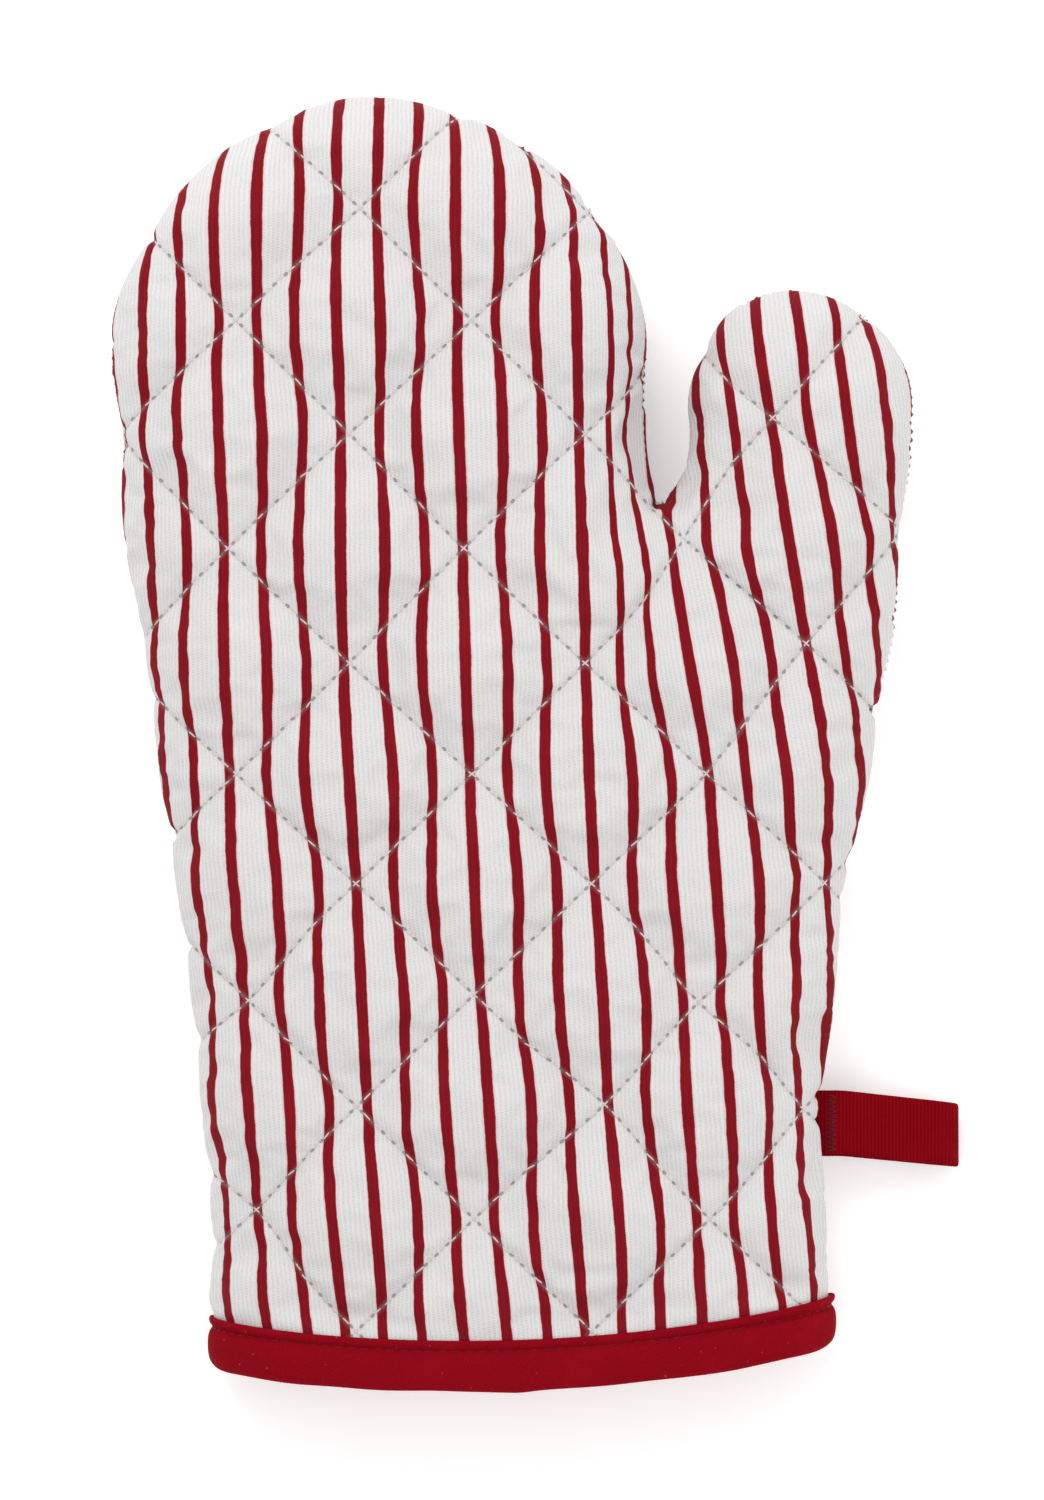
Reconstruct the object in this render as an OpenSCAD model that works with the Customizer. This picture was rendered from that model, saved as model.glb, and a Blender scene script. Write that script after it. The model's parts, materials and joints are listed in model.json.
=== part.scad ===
// Oven mitt: two quilted panels sewn round the hand and thumb, with a bound cuff and a hanging loop.
// It lies on its back panel. +X is towards the thumb, +Y towards the fingertips and +Z up.
// The origin is at the middle of the whole mitt, loop included, on the surface it rests on.

/* [Mitt] */
// Length from the lowest point of the cuff to the fingertips
mitt_l = 300; // [240:1:380]
// Width across the fingers, where the hand is widest
hand_w = 125.2; // [105:0.1:155]
// Width of the cuff between its side seams
cuff_w = 144; // [120:0.5:175]
// How far the left side seam of the cuff stands in from the widest part of the hand
cuff_in = 23.4; // [0:0.1:40]
// How far the straight stretch at the foot of each side reaches above the binding
cuff_straight = 8.4; // [7:0.1:30]
// How far the edge of the cuff rises at its sides
cuff_bow = 6.8; // [0:0.1:14]
// Place of the lowest point of the cuff, from -1 at the left seam to 1 at the right
cuff_low = -0.19; // [-0.6:0.01:0.6]

/* [Thumb] */
// Width of the rounded thumb
thumb_w = 51.6; // [40:0.2:64]
// How far the thumb's inner side stands off the crotch, across the mitt
thumb_gap = 6.2; // [2:0.1:14]
// Height of the middle of the thumb's round end above the crotch
thumb_rise = 22.5; // [18:0.5:40]
// Length of the fingers from the crotch to the fingertips
finger_l = 92.5; // [76:0.5:120]
// Gap between the fingers' seam and the deepest point of the crotch, across the hand
crotch_out = 3.3; // [1:0.1:8]

/* [Panels] */
// Thickness of a quilted panel away from its edges
panel_t = 9; // [6:0.1:12]
// Thickness of a panel where the cuff binding squeezes it
bound_t = 5; // [3.6:0.1:6]
// Thickness of the striped cotton outer shell
shell_t = 0.8; // [0.5:0.1:1.2]
// Thickness of the lining cloth
lining_t = 0.6; // [0.4:0.1:1]
// Height of the front panel above the side seam
front_rise = 26; // [18:0.5:34]
// Depth of the back panel below the side seam
back_drop = 12.2; // [10.5:0.1:18]
// Width of the roll where a panel curves down to its seam
edge_r = 30; // [20:0.5:34]
// Spacing of the quilting nodes across the mitt, half a diamond
quilt_x = 27.3; // [20:0.1:36]
// Spacing of the quilting nodes along the mitt, half a diamond
quilt_y = 26; // [20:0.1:36]

/* [Cuff binding] */
// Height of the binding tape on each face
bind_h = 11.6; // [8:0.1:16]
// Thickness of the binding tape
bind_t = 1.2; // [0.8:0.1:1.6]

/* [Hanging loop] */
// Distance from the seam to the end of the loop
loop_l = 31.6; // [26:0.1:45]
// Width of the loop tape
loop_w = 15; // [10:0.5:20]
// Thickness of the loop tape
loop_t = 1.5; // [1:0.1:2]
// Clear height inside the loop's eye
loop_eye = 6.4; // [5:0.1:8]
// Height of the middle of the loop above the cuff
loop_y = 61.7; // [40:0.5:120]
// Height of the loop's lowest point above the surface the mitt lies on
loop_float = 0.3; // [0.1:0.1:3]

/* [Folds] */
// Height of the finger fold above the crotch
finger_fold_up = 12.5; // [6:0.5:18]
// Height of both fold axes above the side seam
fold_rise = 12; // [6:0.5:15]
// Furthest fold of the fingers, in degrees
finger_fold = 50; // [10:1:60]
// Furthest fold of the thumb, in degrees
thumb_fold = 45; // [10:1:50]
// Slope of the thumb's fold line down to the right, in degrees
thumb_slope = 40.3; // [36:0.1:46]

/* [Hidden] */

// Clearances
seam_gap = 0.1;    // each panel to the seam plane
ply_gap = 0.1;     // cloth to wadding
fold_gap = 0.3;    // each side of a fold
tape_gap = 0.35;   // binding to the shell it wraps
lining_gap = 0.8;  // binding to the lining
raw_gap = 0.4;     // fold of the binding to the panels' raw edges
tail_gap = 0.15;   // loop tails to the seam
tip_flat = 0.3;    // flat left at the end of a rounded tip
lining_in = 2;     // lining's seam inside the shell's
thread_r = 0.3;
thread_lift = 0.85; // quilting thread's middle above the cloth
lining_lift = 0.5; // and above the lining

// Heights
edge_t = shell_t + ply_gap + lining_t;
seam_z = seam_gap + back_drop;
fold_z = seam_z + fold_rise;
bind_rise = 14;    // length over which the panel swells above the binding

// ---------- outline of the mitt ----------

dome_r = hand_w / 2;
dome_y = mitt_l + tip_flat - dome_r;
thumb_r = thumb_w / 2;
crotch = [hand_w + crotch_out, mitt_l - finger_l];
thumb_c = crotch + [thumb_gap + thumb_r, thumb_rise];
finger_fold_y = crotch.y + finger_fold_up;
cuff_l = cuff_in;
cuff_r = cuff_in + cuff_w;
cuff_mid = (cuff_l + cuff_r) / 2;

// Fold line of the thumb: along it, and across it towards the tip
fold_u = [cos(thumb_slope), -sin(thumb_slope)];
fold_v = [sin(thumb_slope), cos(thumb_slope)];

function bezier(p, t) =
    pow(1 - t, 3) * p[0] + 3 * t * pow(1 - t, 2) * p[1] + 3 * t * t * (1 - t) * p[2] + pow(t, 3) * p[3];
function curve(p, n) = [for (i = [0 : n]) bezier(p, i / n)];
function arc(c, r, a0, a1, n) =
    [for (i = [0 : n]) let (a = a0 + (a1 - a0) * i / n) c + r * [cos(a), sin(a)]];
function head(list) = [for (i = [0 : len(list) - 2]) list[i]];
function back_to_front(list) = [for (i = [len(list) - 1 : -1 : 0]) list[i]];

straight_y = bind_h + cuff_straight;
left_side = concat(
    [[cuff_l, 0]],
    curve([[cuff_l, straight_y], [cuff_l - 1, 100], [1.5, dome_y - 52], [0, dome_y]], 14)
);
dome_left = arc([dome_r, dome_y], dome_r, 180, 90, 12);
dome_right = arc([dome_r, dome_y], dome_r, 0, 90, 12);
hand_side = curve([crotch, [crotch.x - 4.6, crotch.y + 8], [hand_w - 2, dome_y - 12], [hand_w, dome_y]], 6);
tip_angle = 90 - thumb_slope;
web_angle = 188;
web_end = thumb_c + thumb_r * [cos(web_angle), sin(web_angle)];
thumb_web = curve([crotch, crotch + [5, 4.5], web_end + [0.8, -7], web_end], 5);
thumb_left = arc(thumb_c, thumb_r, web_angle, tip_angle, 12);
thumb_right = arc(thumb_c, thumb_r, 0, tip_angle, 8);
thumb_out = thumb_c.x + thumb_r;
right_side = concat(
    [[cuff_r, 0]],
    curve([[cuff_r, straight_y], [cuff_r - 10, 100], [thumb_out, thumb_c.y - 73], [thumb_out, thumb_c.y]],
        16)
);

// Chains that rise from the cuff or the crotch to a tip
left_chain = concat(head(left_side), dome_left);
hand_chain = concat(head(hand_side), dome_right);
web_chain = concat(head(thumb_web), thumb_left);
right_chain = concat(head(right_side), thumb_right);
outline = concat(
    left_chain,
    head(back_to_front(hand_chain)),
    head(web_chain),
    back_to_front(right_chain)
);

function segment_distance(p, a, b) =
    let (t = max(0, min(1, (p - a) * (b - a) / ((b - a) * (b - a))))) norm(p - a - t * (b - a));
function seam_distance(p) =
    min([for (i = [0 : len(outline) - 2]) segment_distance(p, outline[i], outline[i + 1])]);

function along(p) = (p - crotch) * fold_u;
function across(p) = (p - crotch) * fold_v;
function from_fold(u, v) = crotch + u * fold_u + v * fold_v;

function x_at(chain, y) = lookup(y, [for (p = chain) [p.y, p.x]]);
function u_at(chain, v) = lookup(v, [for (p = chain) [across(p), along(p)]]);

// Rise of the cuff's edge at x
function cuff_rise(x) = cuff_bow * pow((x - cuff_mid) / (cuff_w / 2) - cuff_low, 2);

// Where the thumb's fold line meets the right side
fold_end_y = lookup(0, [for (p = right_side) [across(p), p.y]]);
function fold_x(y) = crotch.x + (crotch.y - y) / tan(thumb_slope);

// ---------- panel heights ----------

function roll(s) = let (k = max(0, min(1, s))) sqrt(1 - pow(1 - k, 2));
function ease(s) = let (k = max(0, min(1, s))) k * k * (3 - 2 * k);

// Half the panel's thickness at a height above the cuff's edge
function half_t(h) = (bound_t + (panel_t - bound_t) * ease((h - bind_h) / bind_rise)) / 2;
// Middle of a panel away from the seam plane; side is 1 at the front and -1 at the back
function middle(side) = (side > 0 ? front_rise : back_drop) - panel_t / 2;
function outer(side, d, h) = seam_gap + edge_t + (middle(side) + half_t(h) - edge_t) * roll(d / edge_r);
function inner(side, d, h) = seam_gap + (middle(side) - half_t(h)) * roll((d - lining_in) / edge_r);

// Distances from the seam plane of a ply's two faces
function ply_far(ply, side, d, h) =
    ply == "shell" ? outer(side, d, h)
    : ply == "wadding" ? outer(side, d, h) - shell_t - ply_gap
    : inner(side, d, h) + lining_t;
function ply_near(ply, side, d, h) =
    ply == "shell" ? outer(side, d, h) - shell_t
    : ply == "wadding" ? inner(side, d, h) + lining_t + ply_gap
    : inner(side, d, h);

// Room that the front panel needs each side of a fold that turns through a given angle
function fold_room(side, p, angle) =
    fold_gap
    + (side > 0 ? max(0, seam_z + outer(1, seam_distance(p), mitt_l) - fold_z) * tan(angle / 2) : 0);

// ---------- grids of the three regions ----------

// Columns crowd towards both edges, where the panels curve most
edge_angles = [0, 12, 24, 36, 50, 70, 90];
function columns(x0, x1, mids = 1) =
    let (w = x1 - x0, r = min(edge_r, 0.42 * w))
    concat(
        [for (a = edge_angles) x0 + r * (1 - cos(a))],
        [for (i = [1 : mids]) x0 + r + (w - 2 * r) * i / (mids + 1)],
        [for (i = [len(edge_angles) - 1 : -1 : 0]) x1 - r * (1 - cos(edge_angles[i]))]
    );

cuff_mids = 3; // level columns of the palm, which the binding repeats
palm_rows = concat(
    [bind_t + raw_gap, bind_h, bind_h + 7, bind_h + bind_rise],
    [for (t = [0.3, 0.52, 0.76, 1]) bind_h + bind_rise + (fold_end_y - bind_h - bind_rise) * t],
    [for (t = [0.25, 0.5, 0.75, 0.9]) fold_end_y + (crotch.y - fold_end_y) * t],
    [crotch.y, (crotch.y + finger_fold_y) / 2, finger_fold_y]
);
function palm_right(side, y) =
    y <= fold_end_y ? x_at(right_chain, y)
    : y < crotch.y ? fold_x(y) - fold_room(side, [fold_x(y), y], thumb_fold) / fold_v.x
    : x_at(hand_chain, y);
function palm_grid(side) = [
    for (y = palm_rows)
        let (
            near_cuff = 1 - ease((y - bind_h - bind_rise) / 60),
            near_fold = ease((y - fold_end_y) / (finger_fold_y - fold_end_y))
        )
        [for (x = columns(x_at(left_chain, y), palm_right(side, y), cuff_mids))
            [x, y + near_cuff * cuff_rise(x)
                - near_fold * fold_room(side, [x, finger_fold_y], finger_fold)]]
];

finger_rows = concat(
    [finger_fold_y, (finger_fold_y + dome_y) / 2],
    [for (a = [0, 16, 32, 46, 58, 68, 76, 82]) dome_y + dome_r * sin(a)],
    [mitt_l]
);
function finger_grid(side) = [
    for (y = finger_rows)
        [for (x = columns(x_at(left_chain, y), x_at(hand_chain, y)))
            let (room = fold_room(side, [x, finger_fold_y], finger_fold))
            [x, y + room * (mitt_l - y) / (mitt_l - finger_fold_y)]]
];

thumb_tip = across(thumb_c) + thumb_r - tip_flat;
thumb_rows = concat(
    [0, 6, 14, 24],
    [for (a = [0, 20, 38, 54, 66, 76]) across(thumb_c) + thumb_r * sin(a)],
    [thumb_tip]
);
function thumb_grid(side) =
    let (ends = [u_at(web_chain, 0), u_at(right_chain, 0)])
    [for (v = thumb_rows)
        let (u0 = u_at(web_chain, v), u1 = u_at(right_chain, v))
        [for (u = columns(u0, u1))
            let (
                start = ends[0] + (ends[1] - ends[0]) * (u - u0) / (u1 - u0),
                room = fold_room(side, from_fold(start, 0), thumb_fold)
            )
            from_fold(u, v + room * (1 - v / thumb_tip))]];

// ---------- solids from grids ----------

function flat(rows) = [for (row = rows) each row];
function height(p) = p.y - cuff_rise(p.x);

// A closed solid between two height fields on one grid; low and high list a z for every point
module slab(grid, low, high) {
    n = len(grid);
    m = len(grid[0]);
    top = n * m;
    xy = flat(grid);
    points = concat(
        [for (i = [0 : top - 1]) [xy[i].x, xy[i].y, low[i]]],
        [for (i = [0 : top - 1]) [xy[i].x, xy[i].y, high[i]]]
    );
    cells = [for (i = [0 : n - 2], j = [0 : m - 2]) i * m + j];
    faces = concat(
        [for (k = cells) each [[k, k + 1, k + m + 1], [k, k + m + 1, k + m]]],
        [for (k = cells) let (t = top + k) each [[t, t + m + 1, t + 1], [t, t + m, t + m + 1]]],
        [for (j = [0 : m - 2]) each wall(j, j + 1, top)],
        [for (j = [0 : m - 2]) each wall((n - 1) * m + j + 1, (n - 1) * m + j, top)],
        [for (i = [0 : n - 2]) each wall((i + 1) * m, i * m, top)],
        [for (i = [0 : n - 2]) each wall((i + 1) * m - 1, (i + 2) * m - 1, top)]
    );
    polyhedron(points, faces);
}
function wall(a, b, top) = [[a, top + b, b], [a, top + a, top + b]];

// The part of a grid that wadding fills, clear of the seams; ends counts the rows left out at the tip
wadding_skip = 2;
function inset_grid(grid, ends) = [
    for (i = [0 : len(grid) - 1 - ends])
        [for (j = [wadding_skip : len(grid[0]) - 1 - wadding_skip]) grid[i][j]]
];

module ply(name, side, grid) {
    d = [for (p = flat(grid)) seam_distance(p)];
    h = [for (p = flat(grid)) height(p)];
    last = len(d) - 1;
    far = [for (i = [0 : last]) seam_z + side * ply_far(name, side, d[i], h[i])];
    near = [for (i = [0 : last]) seam_z + side * ply_near(name, side, d[i], h[i])];
    slab(grid, side > 0 ? near : far, side > 0 ? far : near);
}
module wadding(side, grid, ends) {
    ply("wadding", side, inset_grid(grid, ends));
}

// ---------- threads ----------

// A four-sided thread through a list of points, none of whose stretches runs along ref
module thread(path, ref = [0, 0, 1]) {
    n = len(path);
    function heading(i) = path[min(n - 1, i + 1)] - path[max(0, i - 1)];
    points = [
        for (i = [0 : n - 1])
            let (
                t = heading(i),
                s = cross(t, ref) / norm(cross(t, ref)) * thread_r,
                up = cross(s, t) / norm(t)
            )
            each [path[i] + s, path[i] + up, path[i] - s, path[i] - up]
    ];
    sides = [for (i = [0 : n - 2], j = [0 : 3])
        let (a = 4 * i + j, b = 4 * i + (j + 1) % 4)
        each [[a, b, b + 4], [a, b + 4, a + 4]]];
    e = 4 * (n - 1);
    polyhedron(points, concat(sides, [[0, 2, 1], [0, 3, 2], [e, e + 1, e + 2], [e, e + 2, e + 3]]));
}

// Quilting lines run both ways through the nodes of a lattice of diamonds
quilt_node = [57, 66]; // a node where two lines cross, from the hand's left edge and the cuff
quilt_dir = [quilt_x, quilt_y] / norm([quilt_x, quilt_y]);
quilt_step = 6;
quilt_margin = 8;      // lines stop this far short of the side seam
cuff_margin = 2;       // and this far above the binding

function in_palm(p) =
    p.x > x_at(left_chain, p.y) && height(p) > bind_h + cuff_margin
    && p.y < finger_fold_y - fold_room(1, [p.x, finger_fold_y], finger_fold) - 1
    && (p.y > crotch.y ? p.x < x_at(hand_chain, p.y)
        : p.y > fold_end_y ? across(p) < -fold_room(1, p - across(p) * fold_v, thumb_fold) - 1
        : p.x < x_at(right_chain, p.y));
function in_fingers(p) =
    p.y > finger_fold_y + fold_room(1, [p.x, finger_fold_y], finger_fold) + 1 && p.y < mitt_l
    && p.x > x_at(left_chain, p.y) && p.x < x_at(hand_chain, p.y);
function in_thumb(p) =
    across(p) < thumb_tip && across(p) > fold_room(1, p - across(p) * fold_v, thumb_fold) + 1
    && along(p) > u_at(web_chain, across(p)) && along(p) < u_at(right_chain, across(p));
function in_region(region, p) =
    (region == "palm" ? in_palm(p) : region == "fingers" ? in_fingers(p) : in_thumb(p))
    && seam_distance(p) > quilt_margin;

// The lines that lean right lie on the cloth and those that lean left cross over them
module quilting(region, side) {
    reach = ceil(mitt_l / quilt_y) + 4;
    steps = ceil(2 * mitt_l / quilt_step);
    for (lean = [1, -1], k = [-reach : 2 : reach]) {
        foot = quilt_node + [k * quilt_x, 0];
        dir = [lean * quilt_dir.x, quilt_dir.y];
        run = [
            for (i = [-steps : steps])
                let (p = foot + i * quilt_step * dir)
                if (p.y > 0 && p.y < mitt_l && in_region(region, p)) p
        ];
        lift = (side > 0 ? thread_lift : lining_lift) + (lean > 0 ? 0 : 2.2 * thread_r);
        if (len(run) > 1)
            thread([for (p = run)
                let (d = seam_distance(p), h = height(p))
                [p.x, p.y, side > 0
                    ? seam_z + outer(1, d, h) + lift
                    : seam_z - inner(-1, d, h) + lift]]);
    }
}

// The side seam's thread runs inside the mitt, in the corner where the linings meet
seam_in = 3.2;
function corner_rise(h) = (inner(1, seam_in, h) - inner(-1, seam_in, h)) / 5;
function seam_point(a, b) =
    let (t = (b - a) / norm(b - a)) (a + b) / 2 + seam_in * [t.y, -t.x];
module seam_thread(chain, flip, keep_from, keep_to) {
    path = [
        for (i = [0 : len(chain) - 2])
            let (p = flip ? seam_point(chain[i + 1], chain[i]) : seam_point(chain[i], chain[i + 1]))
            if (p.y > keep_from && p.y < keep_to) [p.x, p.y, seam_z + corner_rise(height(p))]
    ];
    thread(path);
}

// ---------- cuff binding ----------

// A closed loop round the mouth: the roll at each side and the level stretches between.
// A face of the tape is [out, up, down, edge]: how far its sides stand outside the cuff's seams,
// its heights in front of and behind the seam plane, and the same heights at the side seams.
function half_loop(out, rise, edge) =
    let (
        x0 = cuff_l - out,
        x1 = cuff_r + out,
        rim = [for (a = edge_angles) [edge_r * (1 - cos(a)), edge + (rise - edge) * sin(a)]]
    )
    concat(
        [for (p = rim) [x0 + p.x, p.y]],
        [for (i = [1 : cuff_mids]) [x0 + edge_r + (x1 - x0 - 2 * edge_r) * i / (cuff_mids + 1), rise]],
        [for (p = back_to_front(rim)) [x1 - p.x, p.y]]
    );
function mouth_loop(face) =
    concat(
        half_loop(face[0], face[1], face[3]),
        [for (p = back_to_front(half_loop(face[0], face[2], face[3]))) [p.x, -p.y]]
    );

// The tape's section at each station runs down its outside, round the fold and up its inside,
// then back down and up the two faces that touch the cloth
module tape(outside, inside, top) {
    fold_r = bind_t / 2;
    rings = [
        [outside, top], [outside, fold_r], [outside - [0.5, 0.5, 0.5, 0.5], 0],
        [inside + [0.5, 0.5, 0.5, 0], 0], [inside, fold_r], [inside, top],
        [inside + bind_t * [1, 1, 1, 0], top], [inside + bind_t * [1, 1, 1, 0], bind_t],
        [outside - bind_t * [1, 1, 1, 1], bind_t], [outside - bind_t * [1, 1, 1, 1], top]
    ];
    loops = [for (r = rings) mouth_loop(r[0])];
    n = len(rings);
    m = len(loops[0]);
    points = [for (i = [0 : n - 1]) each [
        for (p = loops[i]) [p.x, rings[i][1] + cuff_rise(p.x), seam_z + p.y]
    ]];
    faces = [for (i = [0 : n - 1], j = [0 : m - 1])
        let (k = (j + 1) % m, l = (i + 1) % n, a = i * m + j, b = i * m + k, c = l * m + k, d = l * m + j)
        each [[a, b, c], [a, c, d]]];
    polyhedron(points, faces);
}
function cloth_face(gap) = [
    gap,
    seam_gap + middle(1) + bound_t / 2 + gap,
    seam_gap + middle(-1) + bound_t / 2 + gap,
    seam_gap + edge_t + gap
];
bind_inside = let (gap = lining_gap + bind_t) [
    -lining_in - gap,
    seam_gap + middle(1) - bound_t / 2 - gap,
    seam_gap + middle(-1) - bound_t / 2 - gap,
    seam_gap
];

// ---------- hanging loop ----------

loop_r = loop_eye / 2 + loop_t;
root_r = loop_t + 0.1;
tail_l = 2;
loop_clear = 0.4;
panel_edge = [for (row = palm_grid(1)) let (p = row[len(row) - 1]) [p.y, p.x]];
seam_x = max(concat(
    [for (side = [-0.5, 0.5]) lookup(loop_y + side * loop_w, panel_edge)],
    [for (p = panel_edge) if (abs(p[0] - loop_y) < loop_w / 2) p[1]]
));
hinge = [seam_x + tail_gap + tail_l + root_r + loop_clear, loop_y, seam_z];
loop_reach = loop_l - (hinge.x - seam_x);
loop_droop = atan((seam_z - loop_r - loop_float) / (loop_reach - loop_r));
loop_c = (loop_reach - loop_r) / cos(loop_droop);

// A teardrop: a small circle at the root and a large one at the end, joined by their tangents
function teardrop(r0, r1, gap) =
    let (a = asin((r1 - r0) / gap))
    concat(arc([gap, 0], r1, -90 - a, 90 + a, 20), arc([0, 0], r0, 90 + a, 270 - a, 8));

module in_place() {
    translate([-(seam_x + loop_l) / 2, -mitt_l / 2, 0]) children();
}

// ---------- the pieces ----------

cloth = "mistyrose";
wool = "whitesmoke";
inside = "seashell";
red = "firebrick";
stitch = "pink";

module front_shell_palm() { color(cloth) in_place() ply("shell", 1, palm_grid(1)); }
module front_wadding_palm() { color(wool) in_place() wadding(1, palm_grid(1), 0); }
module front_lining_palm() { color(inside) in_place() ply("lining", 1, palm_grid(1)); }
module back_shell_palm() { color(cloth) in_place() ply("shell", -1, palm_grid(-1)); }
module back_wadding_palm() { color(wool) in_place() wadding(-1, palm_grid(-1), 0); }
module back_lining_palm() { color(inside) in_place() ply("lining", -1, palm_grid(-1)); }

module front_shell_fingers() { color(cloth) in_place() ply("shell", 1, finger_grid(1)); }
module front_wadding_fingers() { color(wool) in_place() wadding(1, finger_grid(1), 3); }
module front_lining_fingers() { color(inside) in_place() ply("lining", 1, finger_grid(1)); }
module back_shell_fingers() { color(cloth) in_place() ply("shell", -1, finger_grid(-1)); }
module back_wadding_fingers() { color(wool) in_place() wadding(-1, finger_grid(-1), 3); }
module back_lining_fingers() { color(inside) in_place() ply("lining", -1, finger_grid(-1)); }

module front_shell_thumb() { color(cloth) in_place() ply("shell", 1, thumb_grid(1)); }
module front_wadding_thumb() { color(wool) in_place() wadding(1, thumb_grid(1), 2); }
module front_lining_thumb() { color(inside) in_place() ply("lining", 1, thumb_grid(1)); }
module back_shell_thumb() { color(cloth) in_place() ply("shell", -1, thumb_grid(-1)); }
module back_wadding_thumb() { color(wool) in_place() wadding(-1, thumb_grid(-1), 2); }
module back_lining_thumb() { color(inside) in_place() ply("lining", -1, thumb_grid(-1)); }

module front_quilting_thread_palm() { color(stitch) in_place() quilting("palm", 1); }
module front_quilting_thread_fingers() { color(stitch) in_place() quilting("fingers", 1); }
module front_quilting_thread_thumb() { color(stitch) in_place() quilting("thumb", 1); }
module back_quilting_thread_palm() { color(stitch) in_place() quilting("palm", -1); }
module back_quilting_thread_fingers() { color(stitch) in_place() quilting("fingers", -1); }
module back_quilting_thread_thumb() { color(stitch) in_place() quilting("thumb", -1); }

module side_seam_thread_palm() {
    color(stitch) in_place() {
        seam_thread(left_chain, false, bind_h + 4, finger_fold_y - 3);
        seam_thread(right_chain, true, bind_h + 10, fold_end_y - 4);
    }
}
module side_seam_thread_fingers() {
    color(stitch) in_place()
        seam_thread(concat(left_chain, head(back_to_front(hand_chain))), false, finger_fold_y + 4, mitt_l);
}
module side_seam_thread_thumb() {
    color(stitch) in_place()
        seam_thread(concat(web_chain, head(back_to_front(right_chain))), false, fold_end_y + 10, mitt_l);
}

module cuff_binding() {
    color(red) in_place() tape(cloth_face(tape_gap + bind_t), bind_inside, bind_h);
}
// The thread that holds the tape runs in the crease along its top edge, from the left seam all the way round
module binding_thread() {
    ring = mouth_loop(cloth_face(thread_r + tape_gap));
    path = [for (p = ring) [p.x, cuff_rise(p.x) + bind_h + thread_r + ply_gap, seam_z + p.y]];
    color(red) in_place() thread(path, [0, 1, 0]);
}

module hang_loop() {
    color(red) in_place()
        translate(hinge) rotate([90, loop_droop, 0])
            translate([0, 0, -loop_w / 2]) linear_extrude(height = loop_w) difference() {
                polygon(teardrop(root_r, loop_r, loop_c));
                translate([1.2, 0]) polygon(teardrop(0.15, loop_r - loop_t, loop_c - 1.2));
            }
}
module hang_loop_tails() {
    color(red) in_place()
        translate([seam_x + tail_gap, loop_y - loop_w / 2, seam_z - loop_t])
            cube([tail_l, loop_w, 2 * loop_t]);
}
module loop_bartack() {
    color(stitch) in_place()
        translate([seam_x + tail_gap + 0.3, loop_y - loop_w / 2 + 1, seam_z + loop_t])
            cube([tail_l - 0.6, loop_w - 2, 2 * thread_r]);
}

front_shell_palm();
front_wadding_palm();
front_lining_palm();
back_shell_palm();
back_wadding_palm();
back_lining_palm();
front_shell_fingers();
front_wadding_fingers();
front_lining_fingers();
back_shell_fingers();
back_wadding_fingers();
back_lining_fingers();
front_shell_thumb();
front_wadding_thumb();
front_lining_thumb();
back_shell_thumb();
back_wadding_thumb();
back_lining_thumb();
front_quilting_thread_palm();
front_quilting_thread_fingers();
front_quilting_thread_thumb();
back_quilting_thread_palm();
back_quilting_thread_fingers();
back_quilting_thread_thumb();
side_seam_thread_palm();
side_seam_thread_fingers();
side_seam_thread_thumb();
cuff_binding();
binding_thread();
hang_loop();
hang_loop_tails();
loop_bartack();
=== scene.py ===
# Quilted oven mitt: padded striped panels, lining, stitching, cuff binding and hanging loop.
import json
import math
import bpy
import numpy as np
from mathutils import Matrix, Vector, geometry, noise
from mathutils.bvhtree import BVHTree


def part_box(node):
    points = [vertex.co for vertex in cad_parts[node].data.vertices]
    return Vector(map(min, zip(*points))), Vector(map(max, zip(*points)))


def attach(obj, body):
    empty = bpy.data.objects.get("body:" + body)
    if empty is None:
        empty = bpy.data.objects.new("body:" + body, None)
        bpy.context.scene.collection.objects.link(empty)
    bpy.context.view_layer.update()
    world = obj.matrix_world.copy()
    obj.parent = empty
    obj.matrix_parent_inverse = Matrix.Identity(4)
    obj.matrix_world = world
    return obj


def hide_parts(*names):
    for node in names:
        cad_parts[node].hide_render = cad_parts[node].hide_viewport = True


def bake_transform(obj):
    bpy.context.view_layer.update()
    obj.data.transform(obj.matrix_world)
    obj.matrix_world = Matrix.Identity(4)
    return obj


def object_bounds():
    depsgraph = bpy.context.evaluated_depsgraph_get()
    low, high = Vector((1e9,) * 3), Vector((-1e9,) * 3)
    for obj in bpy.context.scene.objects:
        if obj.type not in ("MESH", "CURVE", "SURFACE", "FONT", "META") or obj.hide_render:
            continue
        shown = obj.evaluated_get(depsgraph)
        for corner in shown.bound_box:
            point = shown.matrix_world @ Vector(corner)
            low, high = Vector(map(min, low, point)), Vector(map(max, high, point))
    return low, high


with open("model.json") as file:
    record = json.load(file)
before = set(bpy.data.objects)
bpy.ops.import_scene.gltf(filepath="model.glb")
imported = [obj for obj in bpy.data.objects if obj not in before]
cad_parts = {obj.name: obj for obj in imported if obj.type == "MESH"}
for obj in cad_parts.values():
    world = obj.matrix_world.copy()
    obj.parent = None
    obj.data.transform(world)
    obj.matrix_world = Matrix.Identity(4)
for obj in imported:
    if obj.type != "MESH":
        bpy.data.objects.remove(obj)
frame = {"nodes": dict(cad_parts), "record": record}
cadBounds = [list(corner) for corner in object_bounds()]
mm = 0.001
rng = np.random.default_rng(7)

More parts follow.
